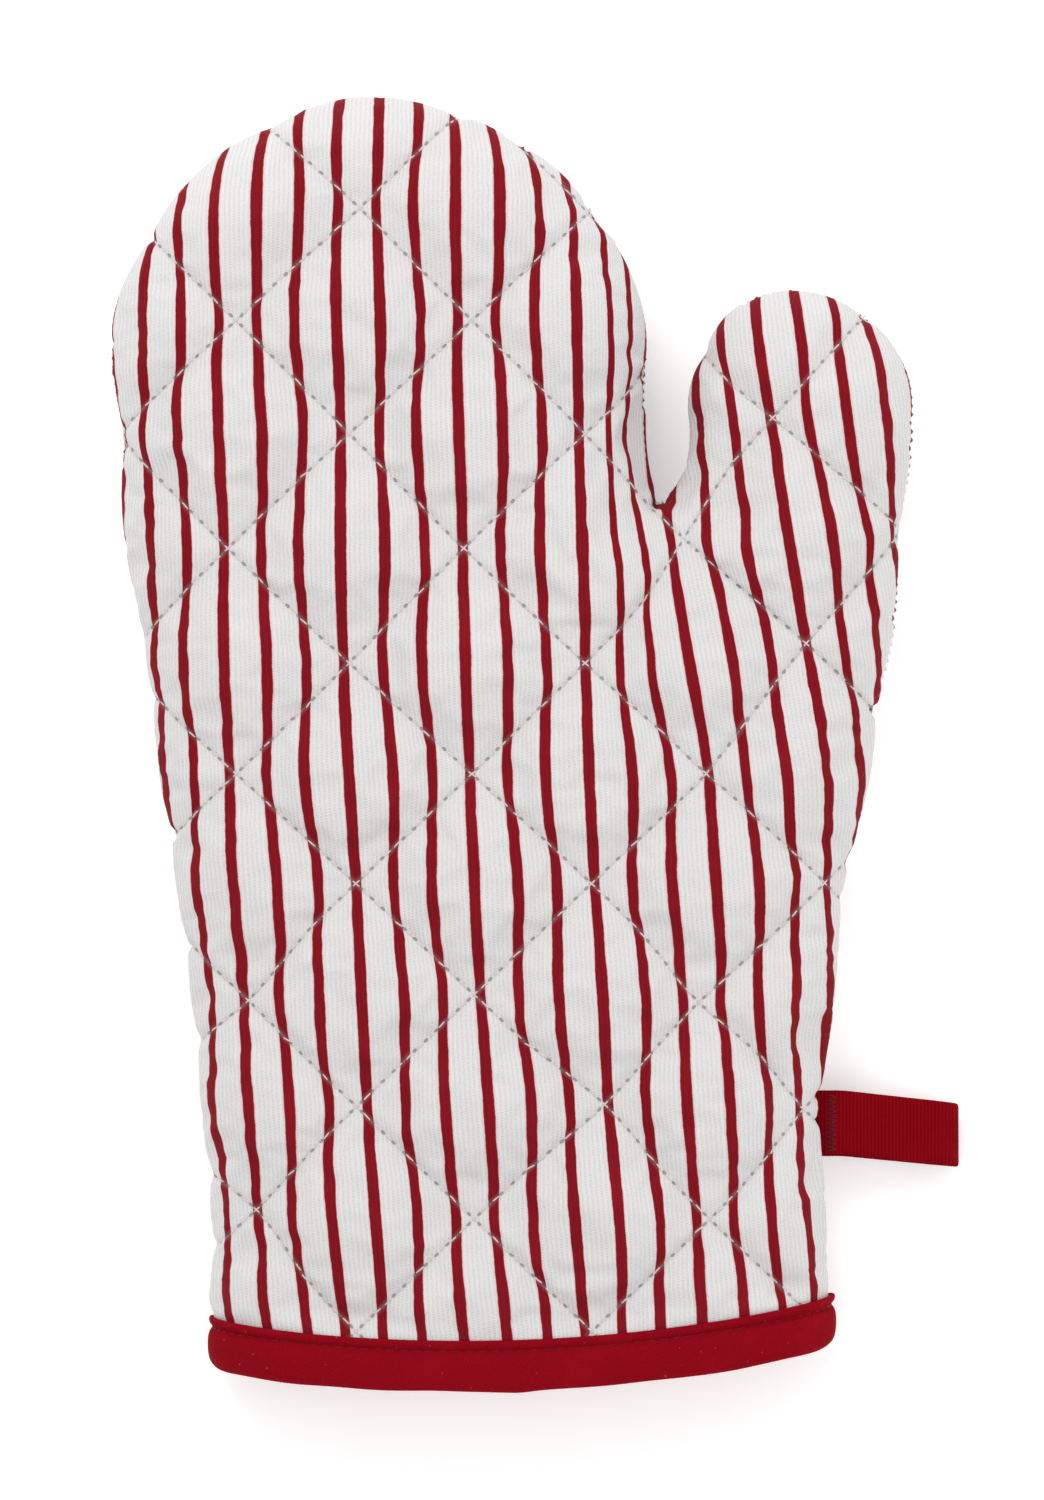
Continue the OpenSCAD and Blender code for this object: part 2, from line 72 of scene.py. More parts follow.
# where the CAD says things are
fingerBox = [np.array(c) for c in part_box("back_shell_fingers")]
loopBox = [np.array(c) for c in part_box("hang_loop")]
tailBox = [np.array(c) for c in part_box("hang_loop_tails")]
joints = {j["name"]: j for j in frame["record"]["behaviour"]["joints"]}
crotchPoint = np.array(joints["thumb_fold"]["pos_m"])
loopPivot = np.array(joints["loop_swing"]["pos_m"])
loopEye = np.array([m for m in frame["record"]["mounts"] if m["name"] == "loop_eye"][0]["pos_m"])
corner = np.array([fingerBox[0][0], cadBounds[0][1]])  # the hand's left edge and the cuff's lowest point
seamZ = loopPivot[2]

# sizes of the cloth body, measured from that corner
mitt = dict(
    length=cadBounds[1][1] - cadBounds[0][1],
    handWidth=fingerBox[1][0] - fingerBox[0][0],
    cuffIn=23.4 * mm, cuffWidth=144 * mm, cuffStraight=20 * mm,
    cuffBow=6.8 * mm, cuffLow=-0.19,
    thumbWidth=51.6 * mm, thumbGap=6.2 * mm, thumbRise=22.5 * mm,
    frontRise=26 * mm, backDrop=12.2 * mm, edgeRoll=30 * mm,
    panelT=9 * mm, boundT=5 * mm, bindRise=14 * mm, bindHeight=11.6 * mm, liningIn=2 * mm,
    squareness=2.35,
)
quilt = dict(stepX=27.3 * mm, stepY=26 * mm, node=(57 * mm, 66 * mm), backNode=(69 * mm, 58 * mm),
             depth=3.8 * mm, backDepth=2.6 * mm, dimple=1 * mm, sharp=0.62,
             scallop=2.4 * mm, backScallop=1.2 * mm, stitchesPerSide=11,
             # the thumb's cloth is turned by a lean and a drop, from x over a width and from y upwards
             turnFrom=(118 * mm, 140 * mm), turnOver=27 * mm, turnLean=0.15, turnDrop=3.5 * mm,
             # where the hand-fed quilting strays: a sway and a dip over the fingers (size, centre, width),
             # and nudges (x, y, dx, dy) with a reach
             sway=(-2.4 * mm, 195 * mm, 42 * mm), dip=(-1.3 * mm, 165 * mm, 40 * mm), reach=17 * mm,
             nudges=[(33, 42, 4.0, 2.0), (32, 90, 2.2, -1.4), (114, 66, 3.0, 0.6), (137, 90, -2.6, -1.8),
                     (162, 65, -4.8, -0.8), (57, 274, 0.9, 0)])
stripe = dict(pitch=9.25 * mm, width=2.45 * mm, phase=9.2 * mm, edgeEase=0.5, lean=-0.0853, curl=0.150,
              thumbLean=0.137, thumbFrom=(111 * mm, 142 * mm), thumbOver=21 * mm, bow=1.9 * mm,
              drift=0.7 * mm)


# the mitt's outline, as chains that rise from the cuff
def bezier(points, n):
    t = np.linspace(0, 1, n + 1)[:, None]
    p = [np.array(q, float) for q in points]
    return (1 - t)**3 * p[0] + 3 * t * (1 - t)**2 * p[1] + 3 * t * t * (1 - t) * p[2] + t**3 * p[3]


def arc(centre, radius, a0, a1, n):
    a = np.radians(np.linspace(a0, a1, n + 1))
    return np.array(centre) + radius * np.stack([np.cos(a), np.sin(a)], 1)


domeR = mitt["handWidth"] / 2
domeY = mitt["length"] - domeR
crotch = crotchPoint[:2] - corner
thumbR = mitt["thumbWidth"] / 2
thumbC = crotch + [mitt["thumbGap"] + thumbR, mitt["thumbRise"]]
cuffL = mitt["cuffIn"]
cuffR = cuffL + mitt["cuffWidth"]
cuffMid = (cuffL + cuffR) / 2
webEnd = arc(thumbC, thumbR, 188, 188, 0)[0]

leftSide = bezier([[cuffL, mitt["cuffStraight"]], [cuffL - mm, 100 * mm],
                   [1.5 * mm, domeY - 52 * mm], [0, domeY]], 60)
dome = arc([domeR, domeY], domeR, 180, 0, 100)
handSide = bezier([crotch + [-1.6 * mm, 0.9 * mm], crotch + [-4.9 * mm, 8 * mm],
                   [mitt["handWidth"] - 2 * mm, domeY - 12 * mm], [mitt["handWidth"], domeY]], 20)
crotchArc = np.array([crotch + [-0.9 * mm, 0.2 * mm], crotch, crotch + [0.9 * mm, 0.3 * mm]])
web = bezier([crotch + [1.8 * mm, 1.2 * mm], crotch + [5.2 * mm, 4.5 * mm],
              webEnd + [0.8 * mm, -7 * mm], webEnd], 16)
thumbArc = arc(thumbC, thumbR, 188, 0, 60)
thumbOut = thumbC[0] + thumbR
rightSide = bezier([[cuffR, mitt["cuffStraight"]], [cuffR - 10 * mm, 100 * mm],
                    [thumbOut, thumbC[1] - 73 * mm], [thumbOut, thumbC[1]]], 70)
seamLine = np.concatenate([
    [[cuffL, 0]], leftSide[:-1], dome[:-1], handSide[::-1], crotchArc, web[:-1],
    thumbArc[:-1], rightSide[::-1], [[cuffR, 0]]])


def resample(line, step):
    gaps = np.linalg.norm(np.diff(line, axis=0), axis=1)
    s = np.concatenate([[0], np.cumsum(gaps)])
    at = np.linspace(0, s[-1], max(2, int(round(s[-1] / step)) + 1))
    return np.stack([np.interp(at, s, line[:, i]) for i in range(line.shape[1])], 1)


def nearest(points, line):
    # distance to a chain, and the direction away from it
    a, b = line[:-1], line[1:]
    ab = b - a
    best = np.full(len(points), 9.0)
    foot = np.zeros_like(points)
    for i in range(len(a)):
        t = np.clip(((points - a[i]) @ ab[i]) / (ab[i] @ ab[i] + 1e-18), 0, 1)
        q = a[i] + t[:, None] * ab[i]
        d = np.linalg.norm(points - q, axis=1)
        near = d < best
        best[near] = d[near]
        foot[near] = q[near]
    away = points - foot
    return best, away / np.maximum(best, 1e-9)[:, None], foot


def inside(points, ring):
    x, y = points[:, 0], points[:, 1]
    hit = np.zeros(len(points), bool)
    for (x0, y0), (x1, y1) in zip(ring, np.roll(ring, -1, axis=0)):
        if y0 != y1:
            hit ^= ((y0 > y) != (y1 > y)) & (x < (x1 - x0) * (y - y0) / (y1 - y0) + x0)
    return hit


def cuffRise(x):
    return mitt["cuffBow"] * ((x - cuffMid) / (mitt["cuffWidth"] / 2) - mitt["cuffLow"])**2


# heights of the panels
def roll(s):
    k = np.clip(s, 0, 1)
    return np.sqrt(1 - (1 - k)**2)


def ease(s):
    k = np.clip(s, 0, 1)
    return k * k * (3 - 2 * k)


def halfT(p):
    swell = ease((p[:, 1] - cuffRise(p[:, 0]) - mitt["bindHeight"]) / mitt["bindRise"])
    return (mitt["boundT"] + (mitt["panelT"] - mitt["boundT"]) * swell) / 2


def middle(side):
    return (mitt["frontRise"] if side > 0 else mitt["backDrop"]) - mitt["panelT"] / 2


def fullRoll(s):
    # a squarer roll, for stuffed cloth that stays level until close to its seam
    k = np.clip(s, 0, 1)
    return (1 - (1 - k)**mitt["squareness"])**(1 / mitt["squareness"])


def outerRise(side, d, p):
    return (middle(side) + halfT(p)) * fullRoll(d / mitt["edgeRoll"])


def innerRise(side, d, p):
    return 0.1 * mm + (middle(side) - halfT(p)) * roll((d - mitt["liningIn"]) / mitt["edgeRoll"])


# the lattice of quilting lines; the thumb's cloth is turned a little
def shift(p):
    turn = ease((p[:, 0] - quilt["turnFrom"][0]) / quilt["turnOver"])
    lift = np.maximum(0, p[:, 1] - quilt["turnFrom"][1])
    moved = np.stack([turn * lift * quilt["turnLean"], -quilt["turnDrop"] * turn * ease(lift / (40 * mm))], 1)
    calm = 1 - turn * ease(lift / (20 * mm))
    for axis, (size, centre, width) in enumerate((quilt["sway"], quilt["dip"])):
        moved[:, axis] -= size * np.exp(-((p[:, 1] - centre) / width)**2) * calm
    for x, y, dx, dy in quilt["nudges"]:
        near = np.exp(-((p - np.array([x, y]) * mm)**2).sum(1) / quilt["reach"]**2)[:, None]
        moved -= near * np.array([dx, dy]) * mm
    return moved


def toLattice(p, node):
    q = p + shift(p) - np.array(node)
    return np.stack([q[:, 0] / quilt["stepX"] + q[:, 1] / quilt["stepY"],
                     q[:, 0] / quilt["stepX"] - q[:, 1] / quilt["stepY"]], 1)


def fromLattice(ab, node):
    q = np.array(node) + np.stack([(ab[:, 0] + ab[:, 1]) / 2 * quilt["stepX"],
                                   (ab[:, 0] - ab[:, 1]) / 2 * quilt["stepY"]], 1)
    p = q.copy()
    for _ in range(12):
        p = q - shift(p)
    return p


def puff(p, node):
    ab = toLattice(p, node)
    near = np.abs(ab - 2 * np.round(ab / 2))
    lobes = np.sin(math.pi / 2 * near)**quilt["sharp"]
    return lobes[:, 0] * lobes[:, 1]


def runs(chain, keep, least):
    # the stretches of a chain whose points are all kept
    cuts = np.flatnonzero(np.diff(keep.astype(int))) + 1
    stretches = zip(np.split(chain, cuts), np.split(keep, cuts))
    return [part for part, kept in stretches if len(part) >= least and kept[0]]


def quiltLines(node, perSide, keepIn):
    # every line as a chain of points, cut where it leaves the cloth
    chains = []
    for family in (0, 1):
        for k in range(-24, 26, 2):
            t = np.arange(-26 * perSide, 26 * perSide + 1) / perSide
            ab = np.zeros((len(t), 2))
            ab[:, family] = k
            ab[:, 1 - family] = t * 2
            p = fromLattice(ab, node)
            ok = inside(p, seamLine)
            ok &= p[:, 1] > cuffRise(p[:, 0]) + keepIn["cuff"]
            d = np.full(len(p), -1.0)
            d[ok] = nearest(p[ok], seamLine)[0]
            ok &= d > keepIn["seam"]
            chains += runs(p, ok, 3)
    return chains


# where the thumb's cloth is parted from the hand's: from the crotch to a line of quilting, and along it
def partLine(step):
    k = round(float(toLattice(np.array([crotch + [2 * mm, -9 * mm]]), quilt["node"])[0, 0]) / 2) * 2
    t = np.linspace(-1, 6, 400)
    ab = np.stack([np.full_like(t, k), t + float(toLattice(np.array([crotch]), quilt["node"])[0, 1])], 1)
    p = fromLattice(ab, quilt["node"])
    p = p[inside(p, seamLine) & (p[:, 0] > crotch[0] + 2.5 * mm)]
    p = p[np.argsort(p[:, 0])]
    d, _, foot = nearest(p[-1:], rightSide)
    return np.concatenate([[crotch], p, foot])


partChain = partLine(2 * mm)
thumbRing = np.concatenate([
    partChain[::-1], crotchArc[1:], web[:-1], thumbArc[:-1],
    np.array([q for q in rightSide[::-1] if q[1] > partChain[-1][1]])])


def compact(tris, count):
    # the points that some faces use, and those faces counted among them
    used = np.unique(tris)
    remap = np.full(count, -1)
    remap[used] = np.arange(len(used))
    return used, remap[tris]


# a flat cloth mesh that follows the outline, the quilting and the parting
def flatCloth(spacing, lineStep, node, rings, edgeStep=2.0 * mm):
    foot = 1.0 * mm
    up = resample(np.concatenate([[[cuffL, cuffRise(cuffL) + foot]], leftSide]), edgeStep)
    over = resample(dome, edgeStep)
    down = resample(handSide[::-1], edgeStep)
    upThumb = resample(np.concatenate([crotchArc[2:], web, thumbArc[1:]]), edgeStep)
    meet = partChain[-1]
    high = resample(np.array([q for q in rightSide[::-1] if q[1] > meet[1]] + [meet]), edgeStep)
    low = resample(np.concatenate([[meet], [q for q in rightSide[::-1] if q[1] < meet[1]],
                                   [[cuffR, cuffRise(cuffR) + foot]]]), edgeStep)
    x = np.linspace(cuffR, cuffL, int(mitt["cuffWidth"] / edgeStep))[1:-1]
    hem = np.stack([x, cuffRise(x) + foot], 1)
    ring = np.concatenate([up[:-1], over[:-1], down, crotchArc[:2], upThumb[:-1], high[:-1], low, hem])
    points = [tuple(q) for q in ring]
    edges = []

    def addChain(chain, first=None, last=None):
        ids = []
        for i, q in enumerate(chain):
            if i == 0 and first is not None:
                ids.append(first)
            elif i == len(chain) - 1 and last is not None:
                ids.append(last)
            else:
                ids.append(len(points))
                points.append(tuple(q))
        edges.extend(zip(ids[:-1], ids[1:]))

    def ringIndex(q):
        return int(np.argmin(np.linalg.norm(ring - q, axis=1)))

    part = resample(partChain, 1.9 * mm)
    addChain(part, ringIndex(crotch), ringIndex(meet))
    fixed = [ring, part]
    if lineStep:
        for chain in quiltLines(node, lineStep, dict(seam=1.0 * mm, cuff=3 * mm)):
            clear = np.linalg.norm(chain[:, None] - part[None], axis=2).min(1) > 1.2 * mm
            for run in runs(chain, clear, 2):
                addChain(run)
                fixed.append(run)
    # loose points with their inset, the chains they keep clear of and by how much: first the rings close to
    # the seam, where the cloth rolls under, then a grid for the rest
    clouds = []
    left = resample(np.concatenate([up, over[1:], down[1:]]), edgeStep)
    right = resample(np.concatenate([upThumb, high[1:], low[1:]]), edgeStep)
    for inset in rings:
        for chain in (left, right):
            t = np.gradient(chain, axis=0)
            t /= np.linalg.norm(t, axis=1)[:, None]
            inner = chain + inset * np.stack([t[:, 1], -t[:, 0]], 1)
            clouds.append((inner, inset, fixed[1:], min(0.42 * spacing, 1.0 * mm)))
    nx = int(mitt["length"] / spacing) + 4
    grid = np.array([(i * spacing + (j % 2) * spacing / 2, j * spacing * 0.866)
                     for j in range(int(nx / 0.8)) for i in range(nx)])
    grid += rng.uniform(-0.16, 0.16, grid.shape) * spacing
    clouds.append((grid, (rings[-1] if rings else 0) + 0.45 * spacing, fixed, 0.5 * spacing))
    border = np.concatenate([ring, ring[:1]])
    for cloud, inset, chains, gap in clouds:
        others = np.concatenate(chains)
        cloud = cloud[inside(cloud, ring)]
        cloud = cloud[nearest(cloud, border)[0] > 0.8 * inset + 0.02 * mm]
        for block in np.array_split(cloud, len(cloud) // 400 + 1):
            clear = np.linalg.norm(block[:, None] - others[None], axis=2).min(1) > gap
            points.extend(tuple(q) for q in block[clear])
    out = geometry.delaunay_2d_cdt([Vector(q) for q in points], edges, [list(range(len(ring)))], 1, 1e-7)
    verts = np.array([list(v) for v in out[0]])
    tris = np.array([list(f) for f in out[2]])
    used, tris = compact(tris, len(verts))
    verts = verts[used]
    cross = np.cross(verts[tris[:, 1]] - verts[tris[:, 0]], verts[tris[:, 2]] - verts[tris[:, 0]])
    tris[cross < 0] = tris[cross < 0][:, ::-1]
    inThumb = inside(verts[tris].mean(1), thumbRing)
    return dict(verts=verts, tris=tris, inThumb=inThumb)


def rimOf(tris):
    # directed edges that belong to one triangle only
    seen = {}
    for t in tris:
        for a, b in ((t[0], t[1]), (t[1], t[2]), (t[2], t[0])):
            seen[(int(a), int(b))] = True
    return [e for e in seen if (e[1], e[0]) not in seen]


def newObject(name, verts, faces, smooth=True):
    mesh = bpy.data.meshes.new(name)
    mesh.from_pydata([tuple(v) for v in verts], [], [tuple(int(i) for i in f) for f in faces])
    mesh.validate()
    mesh.update()
    if smooth:
        mesh.shade_smooth()
    obj = bpy.data.objects.new(name, mesh)
    bpy.context.scene.collection.objects.link(obj)
    return obj


def settle(obj):
    # turns an object with modifiers into a plain mesh
    bpy.context.view_layer.update()
    graph = bpy.context.evaluated_depsgraph_get()
    mesh = bpy.data.meshes.new_from_object(obj.evaluated_get(graph), preserve_all_data_layers=True,
                                           depsgraph=graph)
    obj.modifiers.clear()
    old = obj.data
    obj.data = mesh
    bpy.data.meshes.remove(old)
    obj.data.name = obj.name
    return obj


def toWorld(p, z):
    return np.column_stack([p + corner, z])


# how much longer the cloth is than its plan, out to a distance from the seam
rollSamples = np.linspace(0, 1, 400)
rollSlope = np.gradient(fullRoll(rollSamples), rollSamples)


def rollLength(side, d):
    rise = (mitt["frontRise"] if side > 0 else mitt["backDrop"]) / mitt["edgeRoll"]
    extra = np.cumsum(np.sqrt(1 + (rise * rollSlope)**2) - 1) * (rollSamples[1] * mitt["edgeRoll"])
    extra = (extra[-1] - extra) * stripe["edgeEase"]
    return np.interp(d / mitt["edgeRoll"], rollSamples, extra)


def clothUV(side, p, d, away, node):
    # where a point of the panel lies on the flat cloth, measured from the foot of a stripe
    u = p - away * rollLength(side, d)[:, None]
    x, y = stripe["thumbFrom"]
    turn = ease((p[:, 0] - x) / stripe["thumbOver"]) * np.maximum(0, p[:, 1] - y)
    lean = stripe["lean"] * p[:, 1] + stripe["curl"] * p[:, 1]**2
    # each diamond's puff swells its stripes away from its middle
    ab = toLattice(p, node)
    local = ab - 2 * np.floor(ab / 2) - 1
    swell = stripe["bow"] * (local[:, 0] + local[:, 1]) / 2 * puff(p, node)
    drift = np.array([noise.noise(Vector((x * 28, y * 17, 3.1 * side))) for x, y in p]) * stripe["drift"]
    u[:, 0] += turn * stripe["thumbLean"] - lean - swell + drift
    return u


# outer panels: shape, then cloth simulation
outerSet = dict(spacing=2.3 * mm, lineStep=20, rings=[0.12 * mm, 0.5 * mm, 1.15 * mm, 2.1 * mm],
                lip=1.3 * mm, puffFrom=1 * mm, puffOver=11 * mm, scallopFade=5 * mm)
simSet = dict(frames=24, pressure=2.2, slack=-0.035, mass=0.12, tension=12, shear=4, bending=0.06,
              quality=6, damping=6, cap=2.4 * mm, floor=0.15 * mm)


def onRimOf(cloth):
    mask = np.zeros(len(cloth["verts"]), bool)
    mask[np.unique(np.array(rimOf(cloth["tris"])))] = True
    return mask


def freeOfBinding(h):
    # 0 where the cloth lies flat under the binding, 1 where it can puff
    return ease((h - mitt["bindHeight"] + 1 * mm) / (7 * mm))


def shapeOuter(side, cloth, node, depth):
    p = cloth["verts"]
    d, away, _ = nearest(p, seamLine)
    atRim = onRimOf(cloth)
    atHem = atRim & (p[:, 1] < cuffRise(p[:, 0]) + 3 * mm) & (d > 0.05 * mm)
    atSeam = atRim & ~atHem
    lobe = puff(p, node)
    h = p[:, 1] - cuffRise(p[:, 0])
    free = freeOfBinding(h)
    body = ease((d - outerSet["puffFrom"]) / outerSet["puffOver"])
    z = outerRise(side, d, p) - depth * (1 - lobe) * body * free
    swell = quilt["scallop"] * (lobe - 0.5) if side > 0 else quilt["backScallop"] * (lobe - 1)
    swell *= free
    bulge = swell * np.exp(-d / outerSet["scallopFade"])
    toSeam = -away
    toSeam[d < 1e-6] = 0
    q = p + toSeam * bulge[:, None]
    # the rim itself turns under to the seam
    seamPoints = np.where(atSeam)[0]
    inward = rimInward(cloth, p)
    away[seamPoints] = inward[seamPoints]
    q[seamPoints] += inward[seamPoints] * (outerSet["lip"] - swell[seamPoints])[:, None]
    z[seamPoints] = 0.05 * mm
    return q, seamZ + side * z, d, away, atRim, lobe, h


def rimInward(cloth, p):
    inward = np.zeros_like(p)
    for a, b in rimOf(cloth["tris"]):
        t = p[b] - p[a]
        n = np.array([-t[1], t[0]]) / (np.linalg.norm(t) + 1e-12)
        inward[a] += n
        inward[b] += n
    size = np.linalg.norm(inward, axis=1)
    return inward / np.maximum(size, 1e-9)[:, None]


def simulate(name, verts, tris, pinned, side):
    obj = newObject(name, verts, tris if side > 0 else tris[:, ::-1])
    group = obj.vertex_groups.new(name="pin")
    group.add([int(i) for i in np.flatnonzero(pinned)], 1.0, "REPLACE")
    cloth = obj.modifiers.new("cloth", "CLOTH")
    for setting, value in dict(
            quality=simSet["quality"], mass=simSet["mass"], tension_stiffness=simSet["tension"],
            compression_stiffness=simSet["tension"], shear_stiffness=simSet["shear"],
            bending_stiffness=simSet["bending"], vertex_group_mass="pin", shrink_min=simSet["slack"],
            use_pressure=True, uniform_pressure_force=simSet["pressure"],
            air_damping=simSet["damping"]).items():
        setattr(cloth.settings, setting, value)
    cloth.settings.effector_weights.gravity = 0
    cloth.collision_settings.use_collision = False
    cloth.point_cache.frame_start = 1
    cloth.point_cache.frame_end = simSet["frames"]
    scene = bpy.context.scene
    for f in range(1, simSet["frames"] + 1):
        scene.frame_set(f)
    graph = bpy.context.evaluated_depsgraph_get()
    done = obj.evaluated_get(graph).data
    moved = np.array([v.co for v in done.vertices])
    mesh = obj.data
    bpy.data.objects.remove(obj)
    bpy.data.meshes.remove(mesh)
    scene.frame_set(1)
    step = moved - verts
    size = np.linalg.norm(step, axis=1)
    print(f"  cloth moved up to {size.max() / mm:.2f} mm, mean {size.mean() / mm:.2f}")
    step *= np.minimum(1, simSet["cap"] / np.maximum(size, 1e-9))[:, None]
    return verts + step


def outerPanel(side, node, depth):
    cloth = flatCloth(outerSet["spacing"], outerSet["lineStep"], node, outerSet["rings"])
    q, z, d, away, atRim, lobe, h = shapeOuter(side, cloth, node, depth)
    verts = toWorld(q, z)
    label = "front" if side > 0 else "back"
    print(label, "panel:", len(verts), "points,", len(cloth["tris"]), "triangles")
    onLine = lobe < 0.12
    pinned = atRim | onLine | (h < mitt["bindHeight"] + 1.5 * mm)
    verts = simulate(label + "Sim", verts, cloth["tris"], pinned, side)
    verts[:, 2] = np.maximum(verts[:, 2], simSet["floor"])
    cloth.update(world=verts, uv=clothUV(side, cloth["verts"], d, away, node),
                 lattice=toLattice(cloth["verts"], node))
    return cloth


# inner faces and linings
def innerSheet(side, spacing, node, lineStep, lift, dimple):
    cloth = flatCloth(spacing, lineStep, node, [])
    p = cloth["verts"]
    d, away, _ = nearest(p, seamLine)
    atRim = onRimOf(cloth)
    lobe = puff(p, node)
    h = p[:, 1] - cuffRise(p[:, 0])
    free = freeOfBinding(h)
    z = innerRise(side, d, p) - lift + dimple * (1 - lobe) * ease((d - 3 * mm) / (12 * mm)) * free
    atSeam = atRim & ((p[:, 1] > cuffRise(p[:, 0]) + 3 * mm) | (d < 0.05 * mm))
    z[atSeam] = np.minimum(z[atSeam], 0.05 * mm)
    inward = rimInward(cloth, p)
    away[atSeam] = inward[atSeam]
    q = p + inward * (atSeam * outerSet["lip"])[:, None]
    cloth.update(world=toWorld(q, seamZ + side * np.maximum(z, 0.02 * mm)),
                 uv=clothUV(side, p, d, away, node), lattice=toLattice(p, node))
    return cloth


def pick(cloth, thumb):
    # the hand's or the thumb's share of a cloth
    used, tris = compact(cloth["tris"][cloth["inThumb"] == thumb], len(cloth["verts"]))
    share = {key: cloth[key][used] for key in ("world", "uv", "lattice")}
    return dict(share, tris=tris, flat=cloth["verts"][used])


def writeUV(obj, name, perVertex):
    layer = obj.data.uv_layers.new(name=name)
    index = np.zeros(len(obj.data.loops), int)
    obj.data.loops.foreach_get("vertex_index", index)
    layer.data.foreach_set("uv", perVertex[index].astype(np.float32).ravel())


def subdivided(obj, levels=1):
    smooth = obj.modifiers.new("smooth", "SUBSURF")
    smooth.levels = smooth.render_levels = levels
    smooth.uv_smooth = "PRESERVE_BOUNDARIES"
    return settle(obj)


def paddedPiece(name, side, outer, inner, thumb):
    a, b = pick(outer, thumb), pick(inner, thumb)
    n = len(a["world"])
    verts = np.concatenate([a["world"], b["world"]])
    facesOut = a["tris"] if side > 0 else a["tris"][:, ::-1]
    facesIn = (b["tris"][:, ::-1] if side > 0 else b["tris"]) + n
    rimA, rimB = rimOf(a["tris"]), rimOf(b["tris"])
    keyB = {tuple(np.round(b["flat"][i] / (0.02 * mm)).astype(int)): i for e in rimB for i in e}

    def twin(i):
        key = np.round(a["flat"][i] / (0.02 * mm)).astype(int)
        for dx in (0, -1, 1):
            for dy in (0, -1, 1):
                j = keyB.get((key[0] + dx, key[1] + dy))
                if j is not None:
                    return j + n
        return None
    walls, missed = [], 0
    for i, j in rimA:
        k, m = twin(i), twin(j)
        if k is None or m is None:
            missed += 1
            continue
        walls.append((i, k, m, j) if side > 0 else (j, m, k, i))
    if missed:
        print("  ", name, "rim edges without a twin:", missed)
    obj = newObject(name, verts, list(map(tuple, facesOut)) + list(map(tuple, facesIn)) + walls)
    flat = np.concatenate([a["flat"], b["flat"]])
    parted = nearest(flat, partChain)[0] < 0.05 * mm
    onRim = np.zeros(len(flat), bool)
    onRim[np.array(rimA).ravel()] = True
    onRim[np.array(rimB).ravel() + n] = True
    ends = np.array([tuple(e.vertices) for e in obj.data.edges])
    held = (parted & onRim)[ends].all(1).astype(np.float32)
    for attribute, kind in (("crease_edge", "FLOAT"), ("sharp_edge", "BOOLEAN")):
        layer = obj.data.attributes.new(attribute, kind, "EDGE")
        layer.data.foreach_set("value", held if kind == "FLOAT" else held.astype(bool))
    for poly in obj.data.polygons:
        poly.material_index = 0 if poly.index < len(facesOut) else 1
    writeUV(obj, "cloth", np.concatenate([a["uv"], b["uv"]]))
    writeUV(obj, "lattice", np.concatenate([a["lattice"], b["lattice"]]))
    return subdivided(obj)


print("outer cloth")
frontOuter = outerPanel(1, quilt["node"], quilt["depth"])
backOuter = outerPanel(-1, quilt["backNode"], quilt["backDepth"])
print("inner faces")
innerSet = dict(spacing=3.4 * mm, lineStep=12, gap=0.15 * mm, liningT=0.4 * mm)
frontInner = innerSheet(1, innerSet["spacing"], quilt["node"], innerSet["lineStep"], 0, quilt["dimple"])
backInner = innerSheet(-1, innerSet["spacing"], quilt["backNode"], innerSet["lineStep"], 0, quilt["dimple"])

print("panels and linings")
sides = {"front": (1, frontOuter, frontInner, quilt["node"]),
         "back": (-1, backOuter, backInner, quilt["backNode"])}
panels, linings = {}, {}


def liningPiece(name, side, inner, thumb):
    a = pick(inner, thumb)
    verts = a["world"].copy()
    verts[:, 2] -= side * innerSet["gap"]
    obj = newObject(name, verts, a["tris"][:, ::-1] if side > 0 else a["tris"])
    writeUV(obj, "cloth", a["uv"])
    writeUV(obj, "lattice", a["lattice"])
    wall = obj.modifiers.new("wall", "SOLIDIFY")
    wall.thickness = innerSet["liningT"]
    wall.offset = 1
    t = a["tris"]
    e = a["uv"][t[:, 1:]] - a["uv"][t[:, :1]]
    area = float(np.abs(e[:, 0, 0] * e[:, 1, 1] - e[:, 0, 1] * e[:, 1, 0]).sum() / 2)
    width, length = [float(v) for v in np.ptp(a["uv"], axis=0)]
    return settle(obj), (width, length), area


for label, (side, outer, inner, node) in sides.items():
    for part in ("Hand", "Thumb"):
        panels[label + part] = paddedPiece(label + part + "Panel", side, outer, inner, part == "Thumb")
        linings[label + part] = liningPiece(label + part + "Lining", side, inner, part == "Thumb")


# shader helper: sockets that take part in plain expressions
class Sock:
    def __init__(self, paint, socket):
        self.paint, self.socket = paint, socket

    def do(self, op, *others, first=None):
        values = [first, self] if first is not None else [self, *others]
        return self.paint.node("ShaderNodeMath", dict(operation=op), values)

    def __add__(self, other): return self.do("ADD", other)
    def __radd__(self, other): return self.do("ADD", other)
    def __mul__(self, other): return self.do("MULTIPLY", other)
    def __rmul__(self, other): return self.do("MULTIPLY", other)
    def __sub__(self, other): return self.do("SUBTRACT", other)
    def __rsub__(self, other): return self.do("SUBTRACT", first=other)
    def __truediv__(self, other): return self.do("DIVIDE", other)
    def __pow__(self, other): return self.do("POWER", other)
    def fract(self): return self.do("FRACT")
    def floor(self): return self.do("FLOOR")
    def size(self): return self.do("ABSOLUTE")
    def most(self, other): return self.do("MAXIMUM", other)
    def cosine(self): return self.do("COSINE")

    def step(self, lo, hi):
        # 0 below lo, 1 above hi, smooth between
        return self.paint.node("ShaderNodeMapRange", dict(interpolation_type="SMOOTHSTEP"),
                               {"Value": self, "From Min": lo, "From Max": hi})


